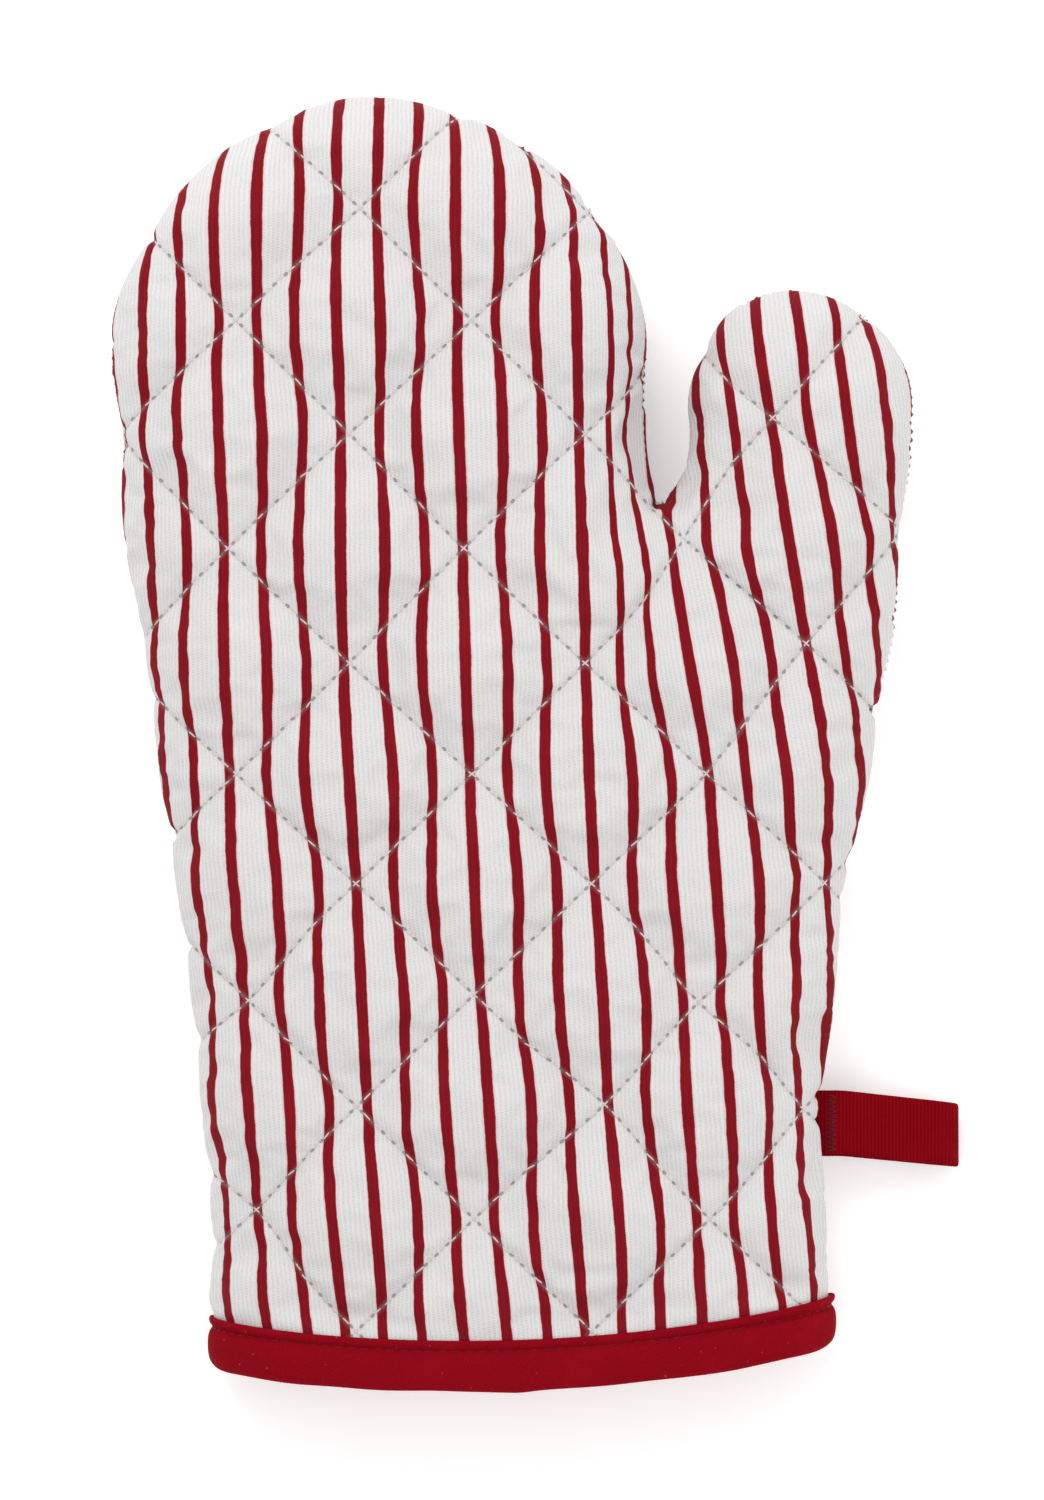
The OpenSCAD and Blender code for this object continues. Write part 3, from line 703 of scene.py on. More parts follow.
class Paint:
    def __init__(self, name, **fixed):
        self.material = bpy.data.materials.new(name)
        self.material.use_nodes = True
        self.tree = self.material.node_tree
        self.shader = self.tree.nodes["Principled BSDF"]
        for socket, value in fixed.items():
            self.shader.inputs[socket.replace("_", " ")].default_value = value

    def link(self, value, target):
        if isinstance(value, Sock):
            self.tree.links.new(value.socket, target)
        elif hasattr(value, "is_output"):
            self.tree.links.new(value, target)
        elif isinstance(value, (tuple, list)) and len(value) == 3 and target.type == "RGBA":
            target.default_value = (*value, 1)
        else:
            target.default_value = value

    def node(self, kind, settings=None, inputs=None, out=0):
        made = self.tree.nodes.new(kind)
        for key, value in (settings or {}).items():
            setattr(made, key, value)
        pairs = inputs.items() if isinstance(inputs, dict) else enumerate(inputs or [])
        for key, value in pairs:
            self.link(value, made.inputs[key])
        return Sock(self, made.outputs[out])

    def uv(self, name):
        return self.split(self.node("ShaderNodeUVMap", dict(uv_map=name)))[:2]

    def spot(self):
        return self.split(self.place())

    def split(self, vector):
        parts = self.node("ShaderNodeSeparateXYZ", None, [vector]).socket.node.outputs
        return [Sock(self, part) for part in parts]

    def place(self):
        return self.node("ShaderNodeTexCoord", out="Object")

    def xyz(self, x, y, z=0.0):
        return self.node("ShaderNodeCombineXYZ", None, [x, y, z])

    def cloud(self, scale, where=None, detail=2.0, rough=0.55):
        return self.node("ShaderNodeTexNoise", None, {"Vector": where or self.place(), "Scale": scale,
                                                      "Detail": detail, "Roughness": rough})

    def mix(self, factor, a, b):
        # colours blend through a Mix node
        return self.node("ShaderNodeMix", dict(data_type="RGBA"), {0: factor, 6: a, 7: b}, 2)

    def finish(self, colour=None, height=None, distance=0.2 * mm, strength=1.0):
        if colour is not None:
            self.link(colour, self.shader.inputs["Base Color"])
        if height is not None:
            bump = self.node("ShaderNodeBump", None,
                             {"Height": height, "Distance": distance, "Strength": strength})
            self.link(bump, self.shader.inputs["Normal"])
        return self.material


tau = 2 * math.pi
# the valley colours are painted shade for the hollows between ribs and picks; white, red and pink are the
# cloth's own colours
weave = dict(rib=1.05 * mm, pick=0.62 * mm, white=(0.715, 0.697, 0.684), valleyShade=(0.505, 0.505, 0.512),
             red=(0.245, 0.0050, 0.0130), redValleyShade=(0.140, 0.0022, 0.0060), pink=(0.70, 0.47, 0.46))


def clothHeight(paint, u, v):
    # ribs up the cloth crossed by finer picks, each rib half a pick out of step with the next
    drift = (paint.cloud(240, paint.xyz(u, v), 1.0) - 0.5) * 0.5
    ribPhase = u / weave["rib"] + drift
    ribs = 0.5 + 0.5 * (ribPhase * tau).cosine()
    stagger = (ribPhase.floor() * 0.5).fract()
    picks = 0.5 + 0.5 * ((v / weave["pick"] + stagger + drift * 0.7) * tau).cosine()
    return ribs, picks


def stripedCotton():
    paint = Paint("stripedCotton", Roughness=0.9, Sheen_Weight=0.02, Sheen_Roughness=0.5,
                  Specular_IOR_Level=0.10)
    u, v = paint.uv("cloth")
    flat = paint.xyz(u, v)
    ribs, picks = clothHeight(paint, u, v)
    grain = paint.cloud(2600, flat, 2.0)
    mottle = paint.cloud(70, flat, 3.0)
    ragged = (paint.cloud(700, flat, 2.0) - 0.5) * (0.22 * mm)
    ragged = ragged + (paint.cloud(120, flat, 1.0) - 0.5) * (0.5 * mm)
    across = (((u - stripe["phase"]) / stripe["pitch"] + 0.5).fract() - 0.5).size() * stripe["pitch"]
    across = across + ragged
    half = stripe["width"] / 2
    ink = 1 - across.step(half - 0.10 * mm, half + 0.13 * mm)
    fringe = (1 - across.step(half + 0.05 * mm, half + 0.55 * mm)) * 0.55
    relief = ribs * 0.6 + picks * 0.4
    # white: painted shade in the weave's hollows where ribs and picks are low, mixed with a random mottle of
    # tone
    white = paint.mix(ribs * 0.5 + picks * 0.18 + mottle * 0.32, weave["valleyShade"], weave["white"])
    white = paint.mix(grain.step(0.35, 0.75) * 0.35, white, (0.79, 0.775, 0.76))
    white = paint.mix(fringe, white, weave["pink"])
    # red: painted shade in the weave's hollows, mixed with a random grain of tone
    red = paint.mix(relief * 0.5 + grain * 0.5, weave["redValleyShade"], weave["red"])
    red = paint.mix(mottle.step(0.45, 0.8) * 0.35, red, (0.29, 0.009, 0.019))
    cloth = paint.mix(ink, white, red)
    # needle holes halfway between the stitches of both families of lines, darkened with painted shadow and
    # sunk by the bump
    a, b = paint.uv("lattice")
    holes = None
    unit = math.hypot(quilt["stepX"], quilt["stepY"]) / 2
    pitch = 2 / quilt["stitchesPerSide"]
    for p, q in ((a, b), (b, a)):
        off = ((p / 2 + 0.5).fract() - 0.5).size() * (2 * unit)
        gap = (((q / pitch).fract() - 0.5).size()) * (pitch * unit)
        dot = 1 - (off * off * 3.6 + gap * gap * 0.9)**0.5 / mm
        dot = dot.step(0.22, 0.62)
        groove = 1 - off.step(0.1 * mm, 1.1 * mm)
        holes = dot if holes is None else holes.most(dot)
        crease = groove if p is a else crease.most(groove)
        tuck = ((q / pitch * (tau * 0.5)).cosine() * 0.5 + 0.5) * (1 - off.step(0.4 * mm, 4.2 * mm))
        tucks = tuck if p is a else tucks.most(tuck)
    # painted shade: a grey band along each stitched groove, then dark painted shadow in the needle holes
    cloth = paint.mix(crease * 0.14, cloth, (0.40, 0.34, 0.34))
    cloth = paint.mix(holes * 0.68, cloth, (0.17, 0.15, 0.155))
    height = relief * 0.55 + grain * 0.35 - holes * 1.6 - crease * 0.5 + tucks * 0.5
    return paint.finish(cloth, height, 0.22 * mm, 0.75)


def plainCotton(name, tint, shade):
    paint = Paint(name, Roughness=0.9, Sheen_Weight=0.03, Specular_IOR_Level=0.12)
    u, v = paint.uv("cloth")
    flat = paint.xyz(u, v)
    ribs, picks = clothHeight(paint, u * 1.5, v * 1.15)
    grain = paint.cloud(2300, flat, 2.0)
    relief = ribs * 0.5 + picks * 0.5
    # painted shade in the weave's hollows: the shade colour where ribs and picks are low, mixed with a random
    # cloud of tone
    cloth = paint.mix(relief * 0.5 + paint.cloud(60, flat, 3.0) * 0.5, shade, tint)
    return paint.finish(cloth, relief * 0.6 + grain * 0.4, 0.18 * mm, 0.7)


def waddingFibre():
    paint = Paint("wadding", Roughness=0.95, Sheen_Weight=0.3, Specular_IOR_Level=0.1)
    fibre = paint.cloud(900, None, 5.0, 0.7)
    return paint.finish(paint.mix(fibre, (0.62, 0.61, 0.58), (0.88, 0.87, 0.85)), fibre, 0.5 * mm, 0.8)


def bindingTwill():
    paint = Paint("bindingTwill", Roughness=0.9, Sheen_Weight=0.0, Specular_IOR_Level=0.02)
    u, v = paint.uv("cloth")
    flat = paint.xyz(u, v)
    wander = (paint.cloud(500, flat, 1.0) - 0.5) * 0.6
    wale = 0.5 + 0.5 * (((u * 0.8 + v) / (0.62 * mm) + wander) * tau).cosine()
    yarn = 0.5 + 0.5 * (((u - v * 0.8) / (0.42 * mm) + wander) * tau).cosine()
    grain = paint.cloud(2400, flat, 2.0)
    mottle = paint.cloud(55, flat, 3.0)
    lint = paint.cloud(650, flat, 1.0).step(0.745, 0.77)
    relief = wale * 0.65 + yarn * 0.35
    # painted shade in the twill's wale hollows (darker where the relief is low), mixed with random grain and
    # mottle of tone
    red = paint.mix(relief * 0.5 + grain * 0.35 + mottle * 0.15,
                    (0.105, 0.0006, 0.0028), (0.420, 0.0050, 0.0160))
    red = paint.mix(mottle.step(0.5, 0.85) * 0.4, red, (0.37, 0.006, 0.018))
    red = paint.mix(lint * 0.25, red, (0.55, 0.16, 0.19))
    return paint.finish(red, relief * 0.7 + grain * 0.4, 0.28 * mm, 0.9)


def loopTape():
    paint = Paint("loopTape", Roughness=0.85, Sheen_Weight=0.0, Specular_IOR_Level=0.02)
    s, w = paint.uv("cloth")
    flat = paint.xyz(s, w)
    wander = (paint.cloud(420, flat, 1.0) - 0.5) * 0.5
    ribs = 0.5 + 0.5 * ((s / (0.85 * mm) + wander * 0.6) * tau).cosine()
    warp = 0.5 + 0.5 * ((w / (0.55 * mm) + wander) * tau).cosine()
    grain = paint.cloud(2400, flat, 2.0)
    relief = ribs * 0.7 + warp * 0.3
    # painted shade in the tape's rib hollows, mixed with random grain of tone
    red = paint.mix(relief * 0.55 + grain * 0.45, (0.090, 0.0005, 0.0020), (0.290, 0.0024, 0.0080))
    red = paint.mix(paint.cloud(80, flat, 2.0).step(0.45, 0.8) * 0.35, red, (0.29, 0.0035, 0.0105))
    return paint.finish(red, relief * 0.8 + grain * 0.3, 0.2 * mm, 0.85)


def thread(name, pale, twistShade):
    paint = Paint(name, Roughness=0.65, Sheen_Weight=0.05, Specular_IOR_Level=0.2)
    x, y, z = paint.spot()
    twist = 0.5 + 0.5 * (((x + y + z) / (0.28 * mm)) * tau).cosine()
    fuzz = paint.cloud(3200, None, 2.0)
    # painted shade in the hollows of the thread's twist, mixed with random fuzz of tone
    return paint.finish(paint.mix(twist * 0.5 + fuzz * 0.5, twistShade, pale), twist, 0.06 * mm, 0.7)


def paintWith(obj, *paints):
    obj.data.materials.clear()
    for paint in paints:
        obj.data.materials.append(paint)


print("materials")
stripedPaint = stripedCotton()
liningPaint = plainCotton("liningCotton", (0.80, 0.785, 0.76), (0.66, 0.65, 0.63))
waddingPaint = waddingFibre()
twillPaint = bindingTwill()
tapePaint = loopTape()
quiltPaint = thread("quiltingThread", (0.78, 0.70, 0.69), (0.52, 0.45, 0.45))
seamPaint = thread("seamThread", (0.80, 0.78, 0.75), (0.60, 0.58, 0.55))
redPaint = thread("redThread", (0.24, 0.003, 0.010), (0.09, 0.001, 0.004))
for obj in panels.values():
    paintWith(obj, stripedPaint, waddingPaint)
for obj, *_ in linings.values():
    paintWith(obj, liningPaint)


# stitches: Geometry Nodes put one curved length of thread on every point
def stitchTree():
    tree = bpy.data.node_groups.new("stitches", "GeometryNodeTree")
    sockets = {}
    for name, kind, way in (("Points", "Geometry", "INPUT"), ("Length", "Float", "INPUT"),
                            ("Thickness", "Float", "INPUT"), ("Sink", "Float", "INPUT"),
                            ("Wobble", "Float", "INPUT"), ("Seed", "Int", "INPUT"),
                            ("Thread", "Material", "INPUT"), ("Stitches", "Geometry", "OUTPUT")):
        made = tree.interface.new_socket(name, in_out=way, socket_type="NodeSocket" + kind)
        sockets[name] = made.identifier
    source = tree.nodes.new("NodeGroupInput").outputs

    def add(kind, inputs, out=0, **settings):
        made = tree.nodes.new(kind)
        for key, value in settings.items():
            setattr(made, key, value)
        for key, value in inputs.items():
            if isinstance(value, bpy.types.NodeSocket):
                tree.links.new(value, made.inputs[key])
            else:
                made.inputs[key].default_value = value
        return made.outputs[out] if len(made.outputs) else made

    def times(value, factor):
        return add("ShaderNodeMath", {0: value, 1: factor}, operation="MULTIPLY")

    def turnedTo(name, **how):
        # turns one axis to a direction that the point carries
        way = add("GeometryNodeInputNamedAttribute", {"Name": name}, data_type="FLOAT_VECTOR")
        turn = dict(Rotation=how.pop("after"), Vector=way) if "after" in how else dict(Vector=way)
        return add("FunctionNodeAlignRotationToVector", turn, **how)

    half, down = times(source["Length"], 0.5), times(source["Sink"], -1)
    ends = [add("ShaderNodeCombineXYZ", {0: x, 2: down}) for x in (times(source["Length"], -0.5), half)]
    crest = add("ShaderNodeCombineXYZ", {2: times(source["Thickness"], 0.75)})
    line = add("GeometryNodeCurveQuadraticBezier",
               {"Resolution": 4, "Start": ends[0], "Middle": crest, "End": ends[1]})
    ring = add("GeometryNodeCurvePrimitiveCircle",
               {"Resolution": 6, "Radius": times(source["Thickness"], 0.5)})
    tube = add("GeometryNodeCurveToMesh", {"Curve": line, "Profile Curve": ring, "Fill Caps": True})
    turned = turnedTo("lie", after=turnedTo("along", axis="X"), axis="Z", pivot_axis="X")
    chance = add("FunctionNodeRandomValue", {2: times(source["Wobble"], -1), 3: source["Wobble"],
                                             "Seed": source["Seed"]}, out=1, data_type="FLOAT")
    spin = add("FunctionNodeAxisAngleToRotation", {"Axis": (0, 0, 1), "Angle": chance})
    rotate = add("FunctionNodeRotateRotation", {"Rotation": turned, "Rotate By": spin},
                 rotation_space="LOCAL")
    placed = add("GeometryNodeInstanceOnPoints",
                 {"Points": source["Points"], "Instance": tube, "Rotation": rotate})
    real = add("GeometryNodeRealizeInstances", {0: placed})
    smooth = add("GeometryNodeSetShadeSmooth", {0: real})
    painted = add("GeometryNodeSetMaterial", {"Geometry": smooth, "Material": source["Thread"]})
    add("NodeGroupOutput", {0: painted})
    return tree, sockets


stitches, stitchSockets = stitchTree()


def sewn(name, places, alongs, lies, paint, length=2.5 * mm, thickness=0.42 * mm, sink=0.25 * mm,
         wobble=0.10, seed=1):
    obj = newObject(name, places, [], False)
    for attribute, values in (("along", alongs), ("lie", lies)):
        layer = obj.data.attributes.new(attribute, "FLOAT_VECTOR", "POINT")
        layer.data.foreach_set("vector", np.asarray(values, np.float32).ravel())
    made = obj.modifiers.new("stitches", "NODES")
    made.node_group = stitches
    for socket, value in (("Length", length), ("Thickness", thickness), ("Sink", sink), ("Wobble", wobble),
                          ("Seed", seed), ("Thread", paint)):
        made[stitchSockets[socket]] = value
    return settle(obj)


def latticeStops(node):
    # every stitch on the quilting lines: its plan place and a point a little further along the line
    pitch = 2 / quilt["stitchesPerSide"]
    stops = []
    for family in (0, 1):
        for k in range(-24, 26, 2):
            ab = np.zeros((26 * quilt["stitchesPerSide"], 2))
            ab[:, family] = k
            ab[:, 1 - family] = (np.arange(len(ab)) - len(ab) // 2) * pitch
            ahead = ab.copy()
            ahead[:, 1 - family] += 0.4 * pitch
            stops.append(np.concatenate([fromLattice(ab, node), fromLattice(ahead, node)], 1))
    stops = np.concatenate(stops)
    p = stops[:, :2]
    ok = inside(p, seamLine) & (p[:, 1] > cuffRise(p[:, 0]) + mitt["bindHeight"] + 0.6 * mm)
    stops = stops[ok]
    near = nearest(stops[:, :2], seamLine)[0]
    return stops[near > 1.2 * mm]


def quiltStitches(name, cloth, obj, node, thumb, faceUp, seed, lead=0.0):
    # plan places carried to the finished surface by way of the cloth they lie on
    chart = BVHTree.FromPolygons([(x, y, 0) for x, y in cloth["verts"]],
                                 [tuple(int(i) for i in t) for t in cloth["tris"]])
    skin = BVHTree.FromPolygons([v.co for v in obj.data.vertices],
                                [tuple(f.vertices) for f in obj.data.polygons])

    def carried(p):
        hit = chart.ray_cast(Vector((p[0], p[1], 1)), Vector((0, 0, -1)))
        if hit[0] is None or bool(cloth["inThumb"][hit[2]]) != thumb:
            return None
        t = cloth["tris"][hit[2]]
        flatCorners = [Vector((*cloth["verts"][i], 0)) for i in t]
        solid = [Vector(cloth["world"][i]) for i in t]
        return geometry.barycentric_transform(hit[0], *flatCorners, *solid)
    places, alongs, lies = [], [], []
    for x, y, ax, ay in latticeStops(node):
        here, there = carried((x, y)), carried((ax, ay))
        if here is None or there is None:
            continue
        here, there = (p + Vector((0, 0, faceUp * lead)) for p in (here, there))
        spot, normal, _, _ = skin.find_nearest(here)
        ahead = skin.find_nearest(there)[0]
        if normal.z * faceUp < 0.12 or (spot - here).length > 2 * mm:
            continue
        places.append(spot)
        alongs.append((ahead - spot).normalized())
        lies.append(normal)
    return sewn(name, places, alongs, lies, quiltPaint, seed=seed)


print("quilting stitches")
quilting = {}
for label, (side, outer, inner, node) in sides.items():
    for k, part in enumerate(("Hand", "Thumb")):
        key = label + part
        isThumb = part == "Thumb"
        quilting[key] = quiltStitches(key + "Quilting", outer, panels[key], node, isThumb, side, 3 + k)
        # the stitches inside start from a point in the hand's space, to find the lining's inner face
        quilting[key + "Inside"] = quiltStitches(key + "InnerQuilting", inner, linings[key][0], node,
                                                 isThumb, -side, 8 + k, lead=1.2 * mm)


# swept pieces: rows of rings, with the cloth's own measure as UV
def sweep(name, rows, across, closeRows=False, closeRing=True, along=None):
    rows = np.asarray(rows)
    n, m = rows.shape[:2]
    if along is None:
        along = np.concatenate([[0], np.cumsum(np.linalg.norm(np.diff(rows.mean(1), axis=0), axis=1))])
    if len(along) == n:
        along = np.append(along, along[-1] + np.linalg.norm(rows[0] - rows[-1], axis=1).mean())
    faces, corners = [], []
    for i in range(n if closeRows else n - 1):
        for j in range(m if closeRing else m - 1):
            k, l = (i + 1) % n, (j + 1) % m
            faces.append((i * m + j, i * m + l, k * m + l, k * m + j))
            corners += [(along[i], across[j]), (along[i], across[j + 1]), (along[i + 1], across[j + 1]),
                        (along[i + 1], across[j])]
    if closeRing and not closeRows:
        for i, turn in ((0, -1), (n - 1, 1)):
            cap = [i * m + j for j in range(m)][::turn]
            faces.append(tuple(cap))
            corners += [(along[i], across[j % m]) for j in cap]
    obj = newObject(name, rows.reshape(-1, 3), faces)
    layer = obj.data.uv_layers.new(name="cloth")
    layer.data.foreach_set("uv", np.asarray(corners, np.float32).ravel())
    mesh = obj.data
    if sum(f.area * (f.center - mesh.vertices[0].co).dot(f.normal) for f in mesh.polygons) < 0:
        mesh.flip_normals()
    return obj


print("cuff binding")
binding = dict(
    # gap from the cloth and height above the fold, down the outside
    outside=[(-0.2, 11.5), (0.15, 11.95), (0.75, 12.05), (1.15, 11.6), (1.2, 10.9), (0.95, 10.2),
             (0.42, 9.75), (0.28, 9.45), (0.5, 9.1), (1.05, 8.4), (1.4, 7.0), (1.5, 5.2), (1.42, 3.4),
             (1.15, 1.7), (0.6, 0.55)],
    under=[(0.12, 0.1), (0.35, -0.05), (0.65, -0.05), (0.88, 0.1)],
    inside=[(0.9, 0.6), (1.1, 1.8), (1.2, 5), (1.1, 8.6), (0.5, 9.5), (0.9, 10.4), (0.9, 11.6),
            (0.1, 11.8)],
    creasePoint=7, stations=118, cornerLift=1.6, cornerReach=6 * mm, joinFrom=(100.5, 12.5),
    joinTo=(93.6, -1), wave=0.22, stitchPitch=3.0)


def mouthLoop(gap, within):
    # the ring of cloth at the mouth, front half from the left then back half from the right
    out = -(mitt["liningIn"] + gap) if within else gap
    sign = -1 if within else 1
    ring = []
    for side in (1, -1):
        top = middle(side) + sign * (mitt["boundT"] / 2 + gap)
        edge = 0.1 * mm if within else 0.3 * mm + gap
        x0, x1 = cuffL - out, cuffR + out
        a = np.linspace(0, 1, binding["stations"])
        x = x0 + (x1 - x0) * (a - np.sin(tau * a) / tau * 0.55)
        curve = roll if within else fullRoll
        z = edge + (top - edge) * curve(np.minimum(x - x0, x1 - x) / mitt["edgeRoll"])
        half = np.stack([x, seamZ + side * z], 1)
        ring.append(half if side > 0 else half[::-1])
    return np.concatenate(ring)


def bindingRows():
    columns = []
    outer0, inner0 = mouthLoop(0.5 * mm, False), mouthLoop(1.0 * mm, True)
    sections = [("out", g, h) for g, h in binding["outside"]] + [("mid", g, h) for g, h in binding["under"]]
    sections += [("in", g, h) for g, h in binding["inside"]]
    j0, j1 = np.array(binding["joinFrom"]) * mm, np.array(binding["joinTo"]) * mm
    slope = (j1 - j0) / np.linalg.norm(j1 - j0)
    for where, gap, h in sections:
        if where == "mid":
            loop = outer0 + (inner0 - outer0) * gap
        else:
            loop = mouthLoop(gap * mm, where == "in")
        x, z = loop[:, 0], loop[:, 1]
        end = np.minimum(np.abs(x - cuffL), np.abs(cuffR - x))
        lift = binding["cornerLift"] * mm * (1 - roll((end + 1.2 * mm) / binding["cornerReach"]))
        lift = lift * (1 - np.clip(h * mm / mitt["bindHeight"], 0, 1))
        y = cuffRise(x) + h * mm + lift
        front = np.arange(len(x)) < binding["stations"]
        swing = np.array([noise.noise(Vector((a * 60, b * 60, h * 0.12))) for a, b in zip(x, z)])
        bump = binding["wave"] * mm * swing * (where == "out") * min(1, h / 3)
        # the diagonal join of the two ends of the tape, a ridge with a dip beside it
        off = (x - j0[0]) * -slope[1] + (y - cuffRise(x) - j0[1]) * slope[0]
        ridge = 0.42 * np.exp(-(off / (0.9 * mm))**2) - 0.5 * np.exp(-((off + 1.5 * mm) / (0.6 * mm))**2)
        bump = bump + ridge * mm * front * (where != "in")
        z = z + np.where(front, 1, -1) * bump
        if where == "mid":
            y = y + 0.5 * mm * swing - 0.35 * mm * np.exp(-(off / (3 * mm))**2) * front
        columns.append(np.stack([x + corner[0], y + corner[1], z], 1))
    return np.stack(columns, 1)


bindRows = bindingRows()
bindRows[:, :, 1] = np.maximum(bindRows[:, :, 1], cadBounds[0][1] - 0.2 * mm)
reach = np.concatenate([[0], np.cumsum(np.linalg.norm(np.diff(bindRows.mean(0), axis=0), axis=1))])
cuffBinding = sweep("cuffBinding", bindRows, np.append(reach, reach[-1] + 4 * mm), closeRows=True)
paintWith(cuffBinding, twillPaint)
subdivided(cuffBinding)
creaseRow = bindRows[:, binding["creasePoint"]]
creaseRow = resample(np.concatenate([creaseRow, creaseRow[:1]]), binding["stitchPitch"] * mm)
ahead = np.roll(creaseRow, -1, axis=0) - creaseRow
mid = creaseRow[:-1] + ahead[:-1] / 2
outward = np.cross(ahead[:-1], (0, 1, 0))
outward /= np.linalg.norm(outward, axis=1)[:, None]
centre = [*bindRows[:, binding["creasePoint"]].mean(0)[:2], seamZ]
outward *= np.sign((outward * (mid - centre)).sum(1))[:, None]
bindingStitches = sewn("bindingStitches", mid + outward * 0.05 * mm, ahead[:-1], outward, redPaint,
                       length=2.3 * mm, thickness=0.4 * mm, seed=5)

print("hanging loop")
tape = dict(thick=1.3 * mm, width=loopBox[1][1] - loopBox[0][1], rounding=0.5 * mm, tilt=0.115,
            rootHalf=0.72 * mm, peek=0.55 * mm, sewnIn=4 * mm, bendAt=1.6 * mm)
seamX = tailBox[0][0]


def tapeRows(path, normals):
    # a flat woven tape along a path that runs in the x-z plane
    half, t = tape["width"] / 2, tape["thick"] / 2
    r = tape["rounding"]
    across = np.concatenate([[-half + r * 0.3], np.linspace(-half + r, half - r, 9), [half - r * 0.3]])
    rows = []
    for k, (p, n) in enumerate(zip(path, normals)):
        bow = np.array([noise.noise(Vector((k * 0.11, c * 90, 5))) for c in across]) * 0.18 * mm
        selvedge = 1 + 0.08 * (np.abs(across) > half - 1.6 * mm)
        thick = t * np.where(np.abs(across) > half - r * 0.8, 0.55, selvedge)
        top = [p + n * (b + w) + np.array([0, c, 0]) for c, w, b in zip(across, thick, bow)]
        low = [p + n * (b - w) + np.array([0, c, 0]) for c, w, b in zip(across, thick, bow)]
        rows.append(np.array(top + [p + n * bow[-1] + np.array([0, half, 0])] + low[::-1]
                             + [p + n * bow[0] + np.array([0, -half, 0])]))
    rows = np.array(rows)
    rows[:, :, 1] -= np.maximum(0, rows[:, :, 0] - loopPivot[0]) * tape["tilt"]
    ys = np.concatenate([across, [half], across[::-1], [-half], [-half + r * 0.3]])
    return rows, ys


def loopPath():
    way = loopEye - loopPivot
    gap = float(np.linalg.norm(way))
    way = way / gap
    up = np.array([-way[2], 0, way[0]])
    rEye = (loopEye[2] - loopBox[0][2]) - tape["thick"] / 2
    rRoot = tape["rootHalf"]
    a = math.asin((rEye - rRoot) / gap)
    points = []
    for sign in (-1, 1):
        start = np.array([tape["bendAt"], sign * rRoot])
        meet = np.array([gap + rEye * math.cos(math.pi / 2 + a), sign * rEye * math.sin(math.pi / 2 + a)])
        t = np.linspace(0, 1, 16)[:, None]
        leg = start + (meet - start) * t
        leg[:, 1] += sign * np.sin(t[:, 0] * math.pi) * 0.25 * mm
        points.append(leg if sign < 0 else leg[::-1])
    turn = np.linspace(-math.pi / 2 - a, math.pi / 2 + a, 20)[1:-1]
    bend = np.stack([gap + rEye * np.cos(turn), rEye * np.sin(turn)], 1)
    flat = np.concatenate([points[0], bend, points[1]])
    path = loopPivot + flat[:, :1] * way + flat[:, 1:] * up
    # both ends run straight back into the side seam, where they are sewn
    x = np.linspace(seamX - tape["sewnIn"], loopPivot[0] - tape["bendAt"], 9)
    low, high = (np.stack([x, 0 * x + loopPivot[1], 0 * x + seamZ + sign * rRoot], 1) for sign in (-1, 1))
    path = np.concatenate([low, path, high[::-1]])
    byFold = np.abs(path[1:-1, 0] - loopPivot[0]) < 4 * mm
    for i in range(4):
        path[1:-1][byFold] = ((path[:-2] + 2 * path[1:-1] + path[2:]) / 4)[byFold]
    step = np.gradient(path, axis=0)
    step /= np.linalg.norm(step, axis=1)[:, None]
    return path, np.stack([step[:, 2], 0 * step[:, 1], -step[:, 0]], 1)


path, normals = loopPath()
rows, ys = tapeRows(path, normals)
rows[:, :, 1] -= tape["peek"] * (1 - ease(np.arange(len(rows)) / len(rows) * 3 - 1))[:, None]
hangLoop = sweep("hangLoop", rows, ys)
paintWith(hangLoop, tapePaint)
subdivided(hangLoop)
barY = np.arange(-tape["width"] / 2 + 1 * mm, tape["width"] / 2 - 0.9 * mm, 0.55 * mm)
barZ = seamZ + tape["rootHalf"] + tape["thick"] / 2 + 0.02 * mm
barPlaces = [(seamX + 1.3 * mm, loopPivot[1] + y, barZ) for y in barY]
barAlong = [(1, 0.16 * (-1)**i, 0) for i in range(len(barY))]
bartack = sewn("loopBartack", barPlaces, barAlong, [(0, 0, 1)] * len(barY), redPaint, length=2.1 * mm,
               thickness=0.38 * mm, sink=0.2 * mm, seed=9)

print("camera and light")
stageSet = dict(frameHeight=348.3 * mm, frameMid=(95.4 * mm, 148.6 * mm), lens=240, sensor=36,
                midHeight=27 * mm, world=0.86, floorHalf=1.6)
scene = bpy.context.scene
scene.view_settings.view_transform = "Standard"
aim = corner + np.array(stageSet["frameMid"])
cam = bpy.data.cameras.new("camera")
cam.sensor_fit = "VERTICAL"
cam.sensor_height = stageSet["sensor"]
cam.lens = stageSet["lens"]
cam.clip_end = 20
camera = bpy.data.objects.new("camera", cam)
scene.collection.objects.link(camera)
distance = stageSet["frameHeight"] * cam.lens / stageSet["sensor"]
camera.location = (aim[0], aim[1], stageSet["midHeight"] + distance)
scene.camera = camera


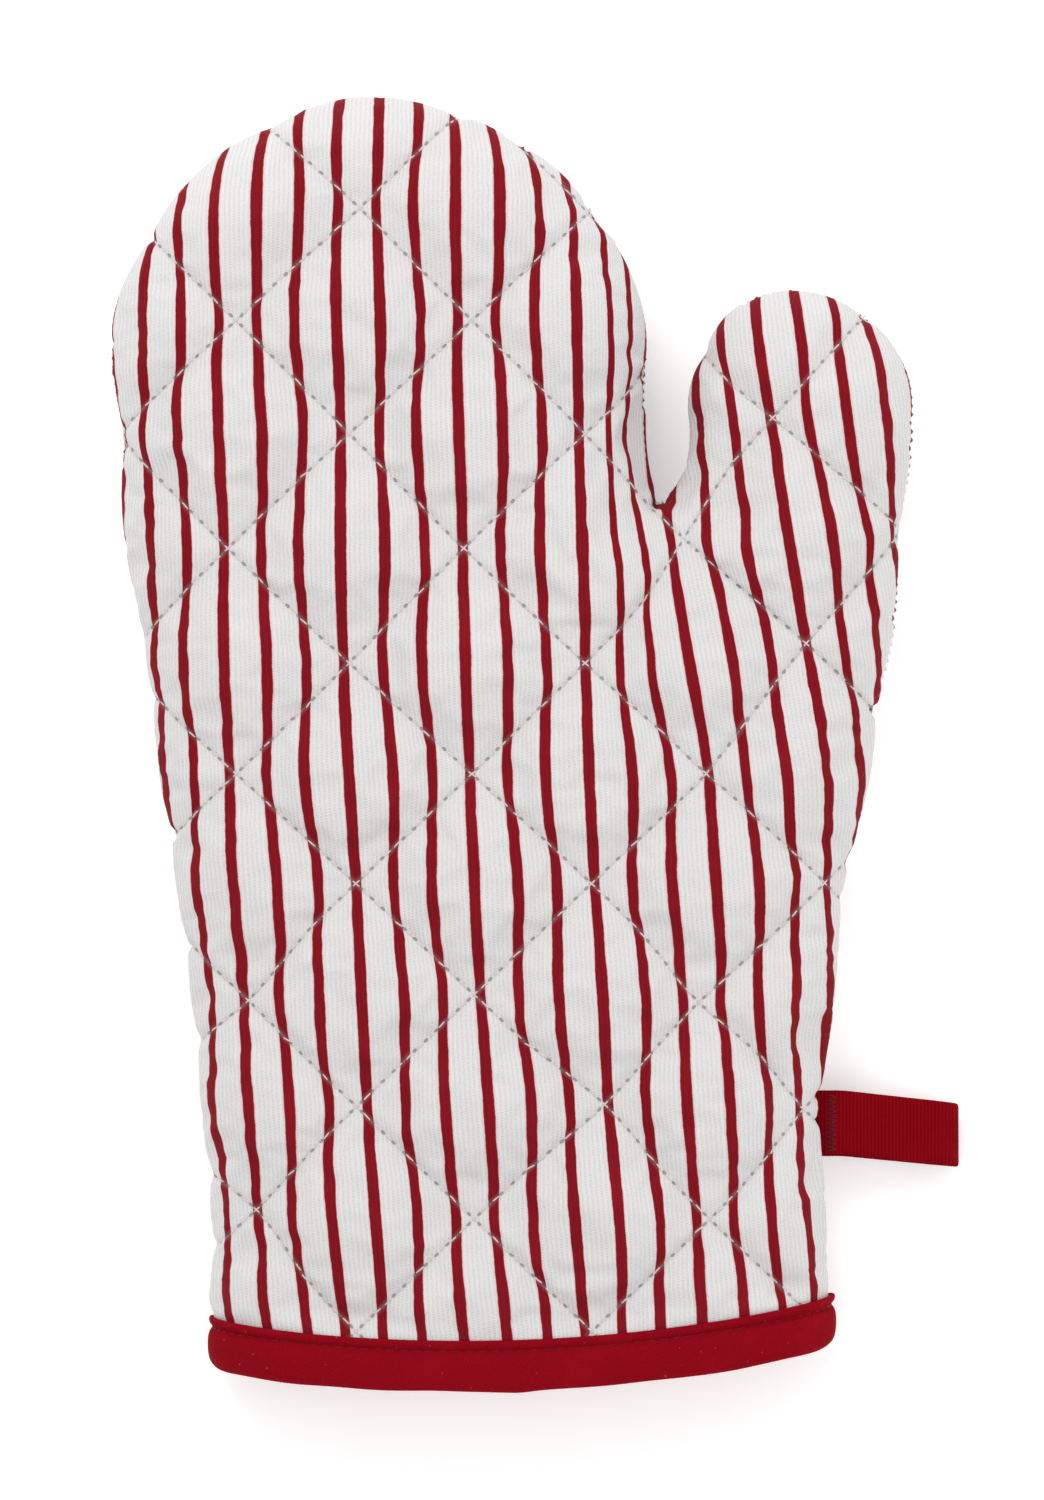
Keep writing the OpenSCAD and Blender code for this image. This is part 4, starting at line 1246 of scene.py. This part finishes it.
def areaLight(name, place, size, power, colour=(1, 1, 1)):
    light = bpy.data.lights.new(name, "AREA")
    light.shape = "RECTANGLE"
    light.size = light.size_y = size
    light.energy = power
    light.color = colour
    obj = bpy.data.objects.new(name, light)
    obj.location = place
    obj.rotation_euler = (-Vector(place)).to_track_quat("-Z", "Y").to_euler()
    scene.collection.objects.link(obj)


areaLight("key", (-0.35, 0.95, 0.95), 0.7, 7.5)
areaLight("fill", (0.9, -0.35, 0.9), 0.8, 3.0)
world = bpy.data.worlds.new("studio")
scene.world = world
world.use_nodes = True
world.node_tree.nodes["Background"].inputs["Color"].default_value = (1, 1, 1, 1)
world.node_tree.nodes["Background"].inputs["Strength"].default_value = stageSet["world"]
half = stageSet["floorHalf"]
floor = newObject("floor", [(x * half, y * half, 0) for x, y in ((-1, -1), (1, -1), (1, 1), (-1, 1))],
                  [(0, 1, 2, 3)])
floorPaint = Paint("paleFloor", Base_Color=(0.96, 0.96, 0.96, 1), Roughness=0.9,
                   Emission_Color=(1, 1, 1, 1), Emission_Strength=0.24)
floor.data.materials.append(floorPaint.finish())

for label in sides:
    for part, bodies in (("Hand", ("palm", "fingers")), ("Thumb", ("thumb",))):
        key = label + part
        lining, flatSize, area = linings[key]
        within = quilting[key + "Inside"]
        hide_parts(*[f"{label}_{ply}_{b}" for ply in ("shell", "wadding") for b in bodies])
        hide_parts(*[f"{label}_lining_{b}" for b in bodies])
        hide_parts(*[f"{label}_quilting_thread_{b}" for b in bodies])
        for obj in (panels[key], lining, quilting[key], within):
            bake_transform(obj)
for obj, body, slot, nodes in (
        (cuffBinding, "palm", "binding_twill", ["cuff_binding"]),
        (bindingStitches, "palm", "binding_thread", ["binding_thread"]),
        (bartack, "palm", "binding_thread", ["loop_bartack"])):
    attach(obj, body)
    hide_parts(*nodes)
# the loop and its sewn-in ends are one tape, which bends where it leaves the seam
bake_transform(hangLoop)
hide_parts("hang_loop", "hang_loop_tails")
for name, obj in frame["nodes"].items():
    if name.startswith("side_seam_thread"):
        paintWith(obj, seamPaint)
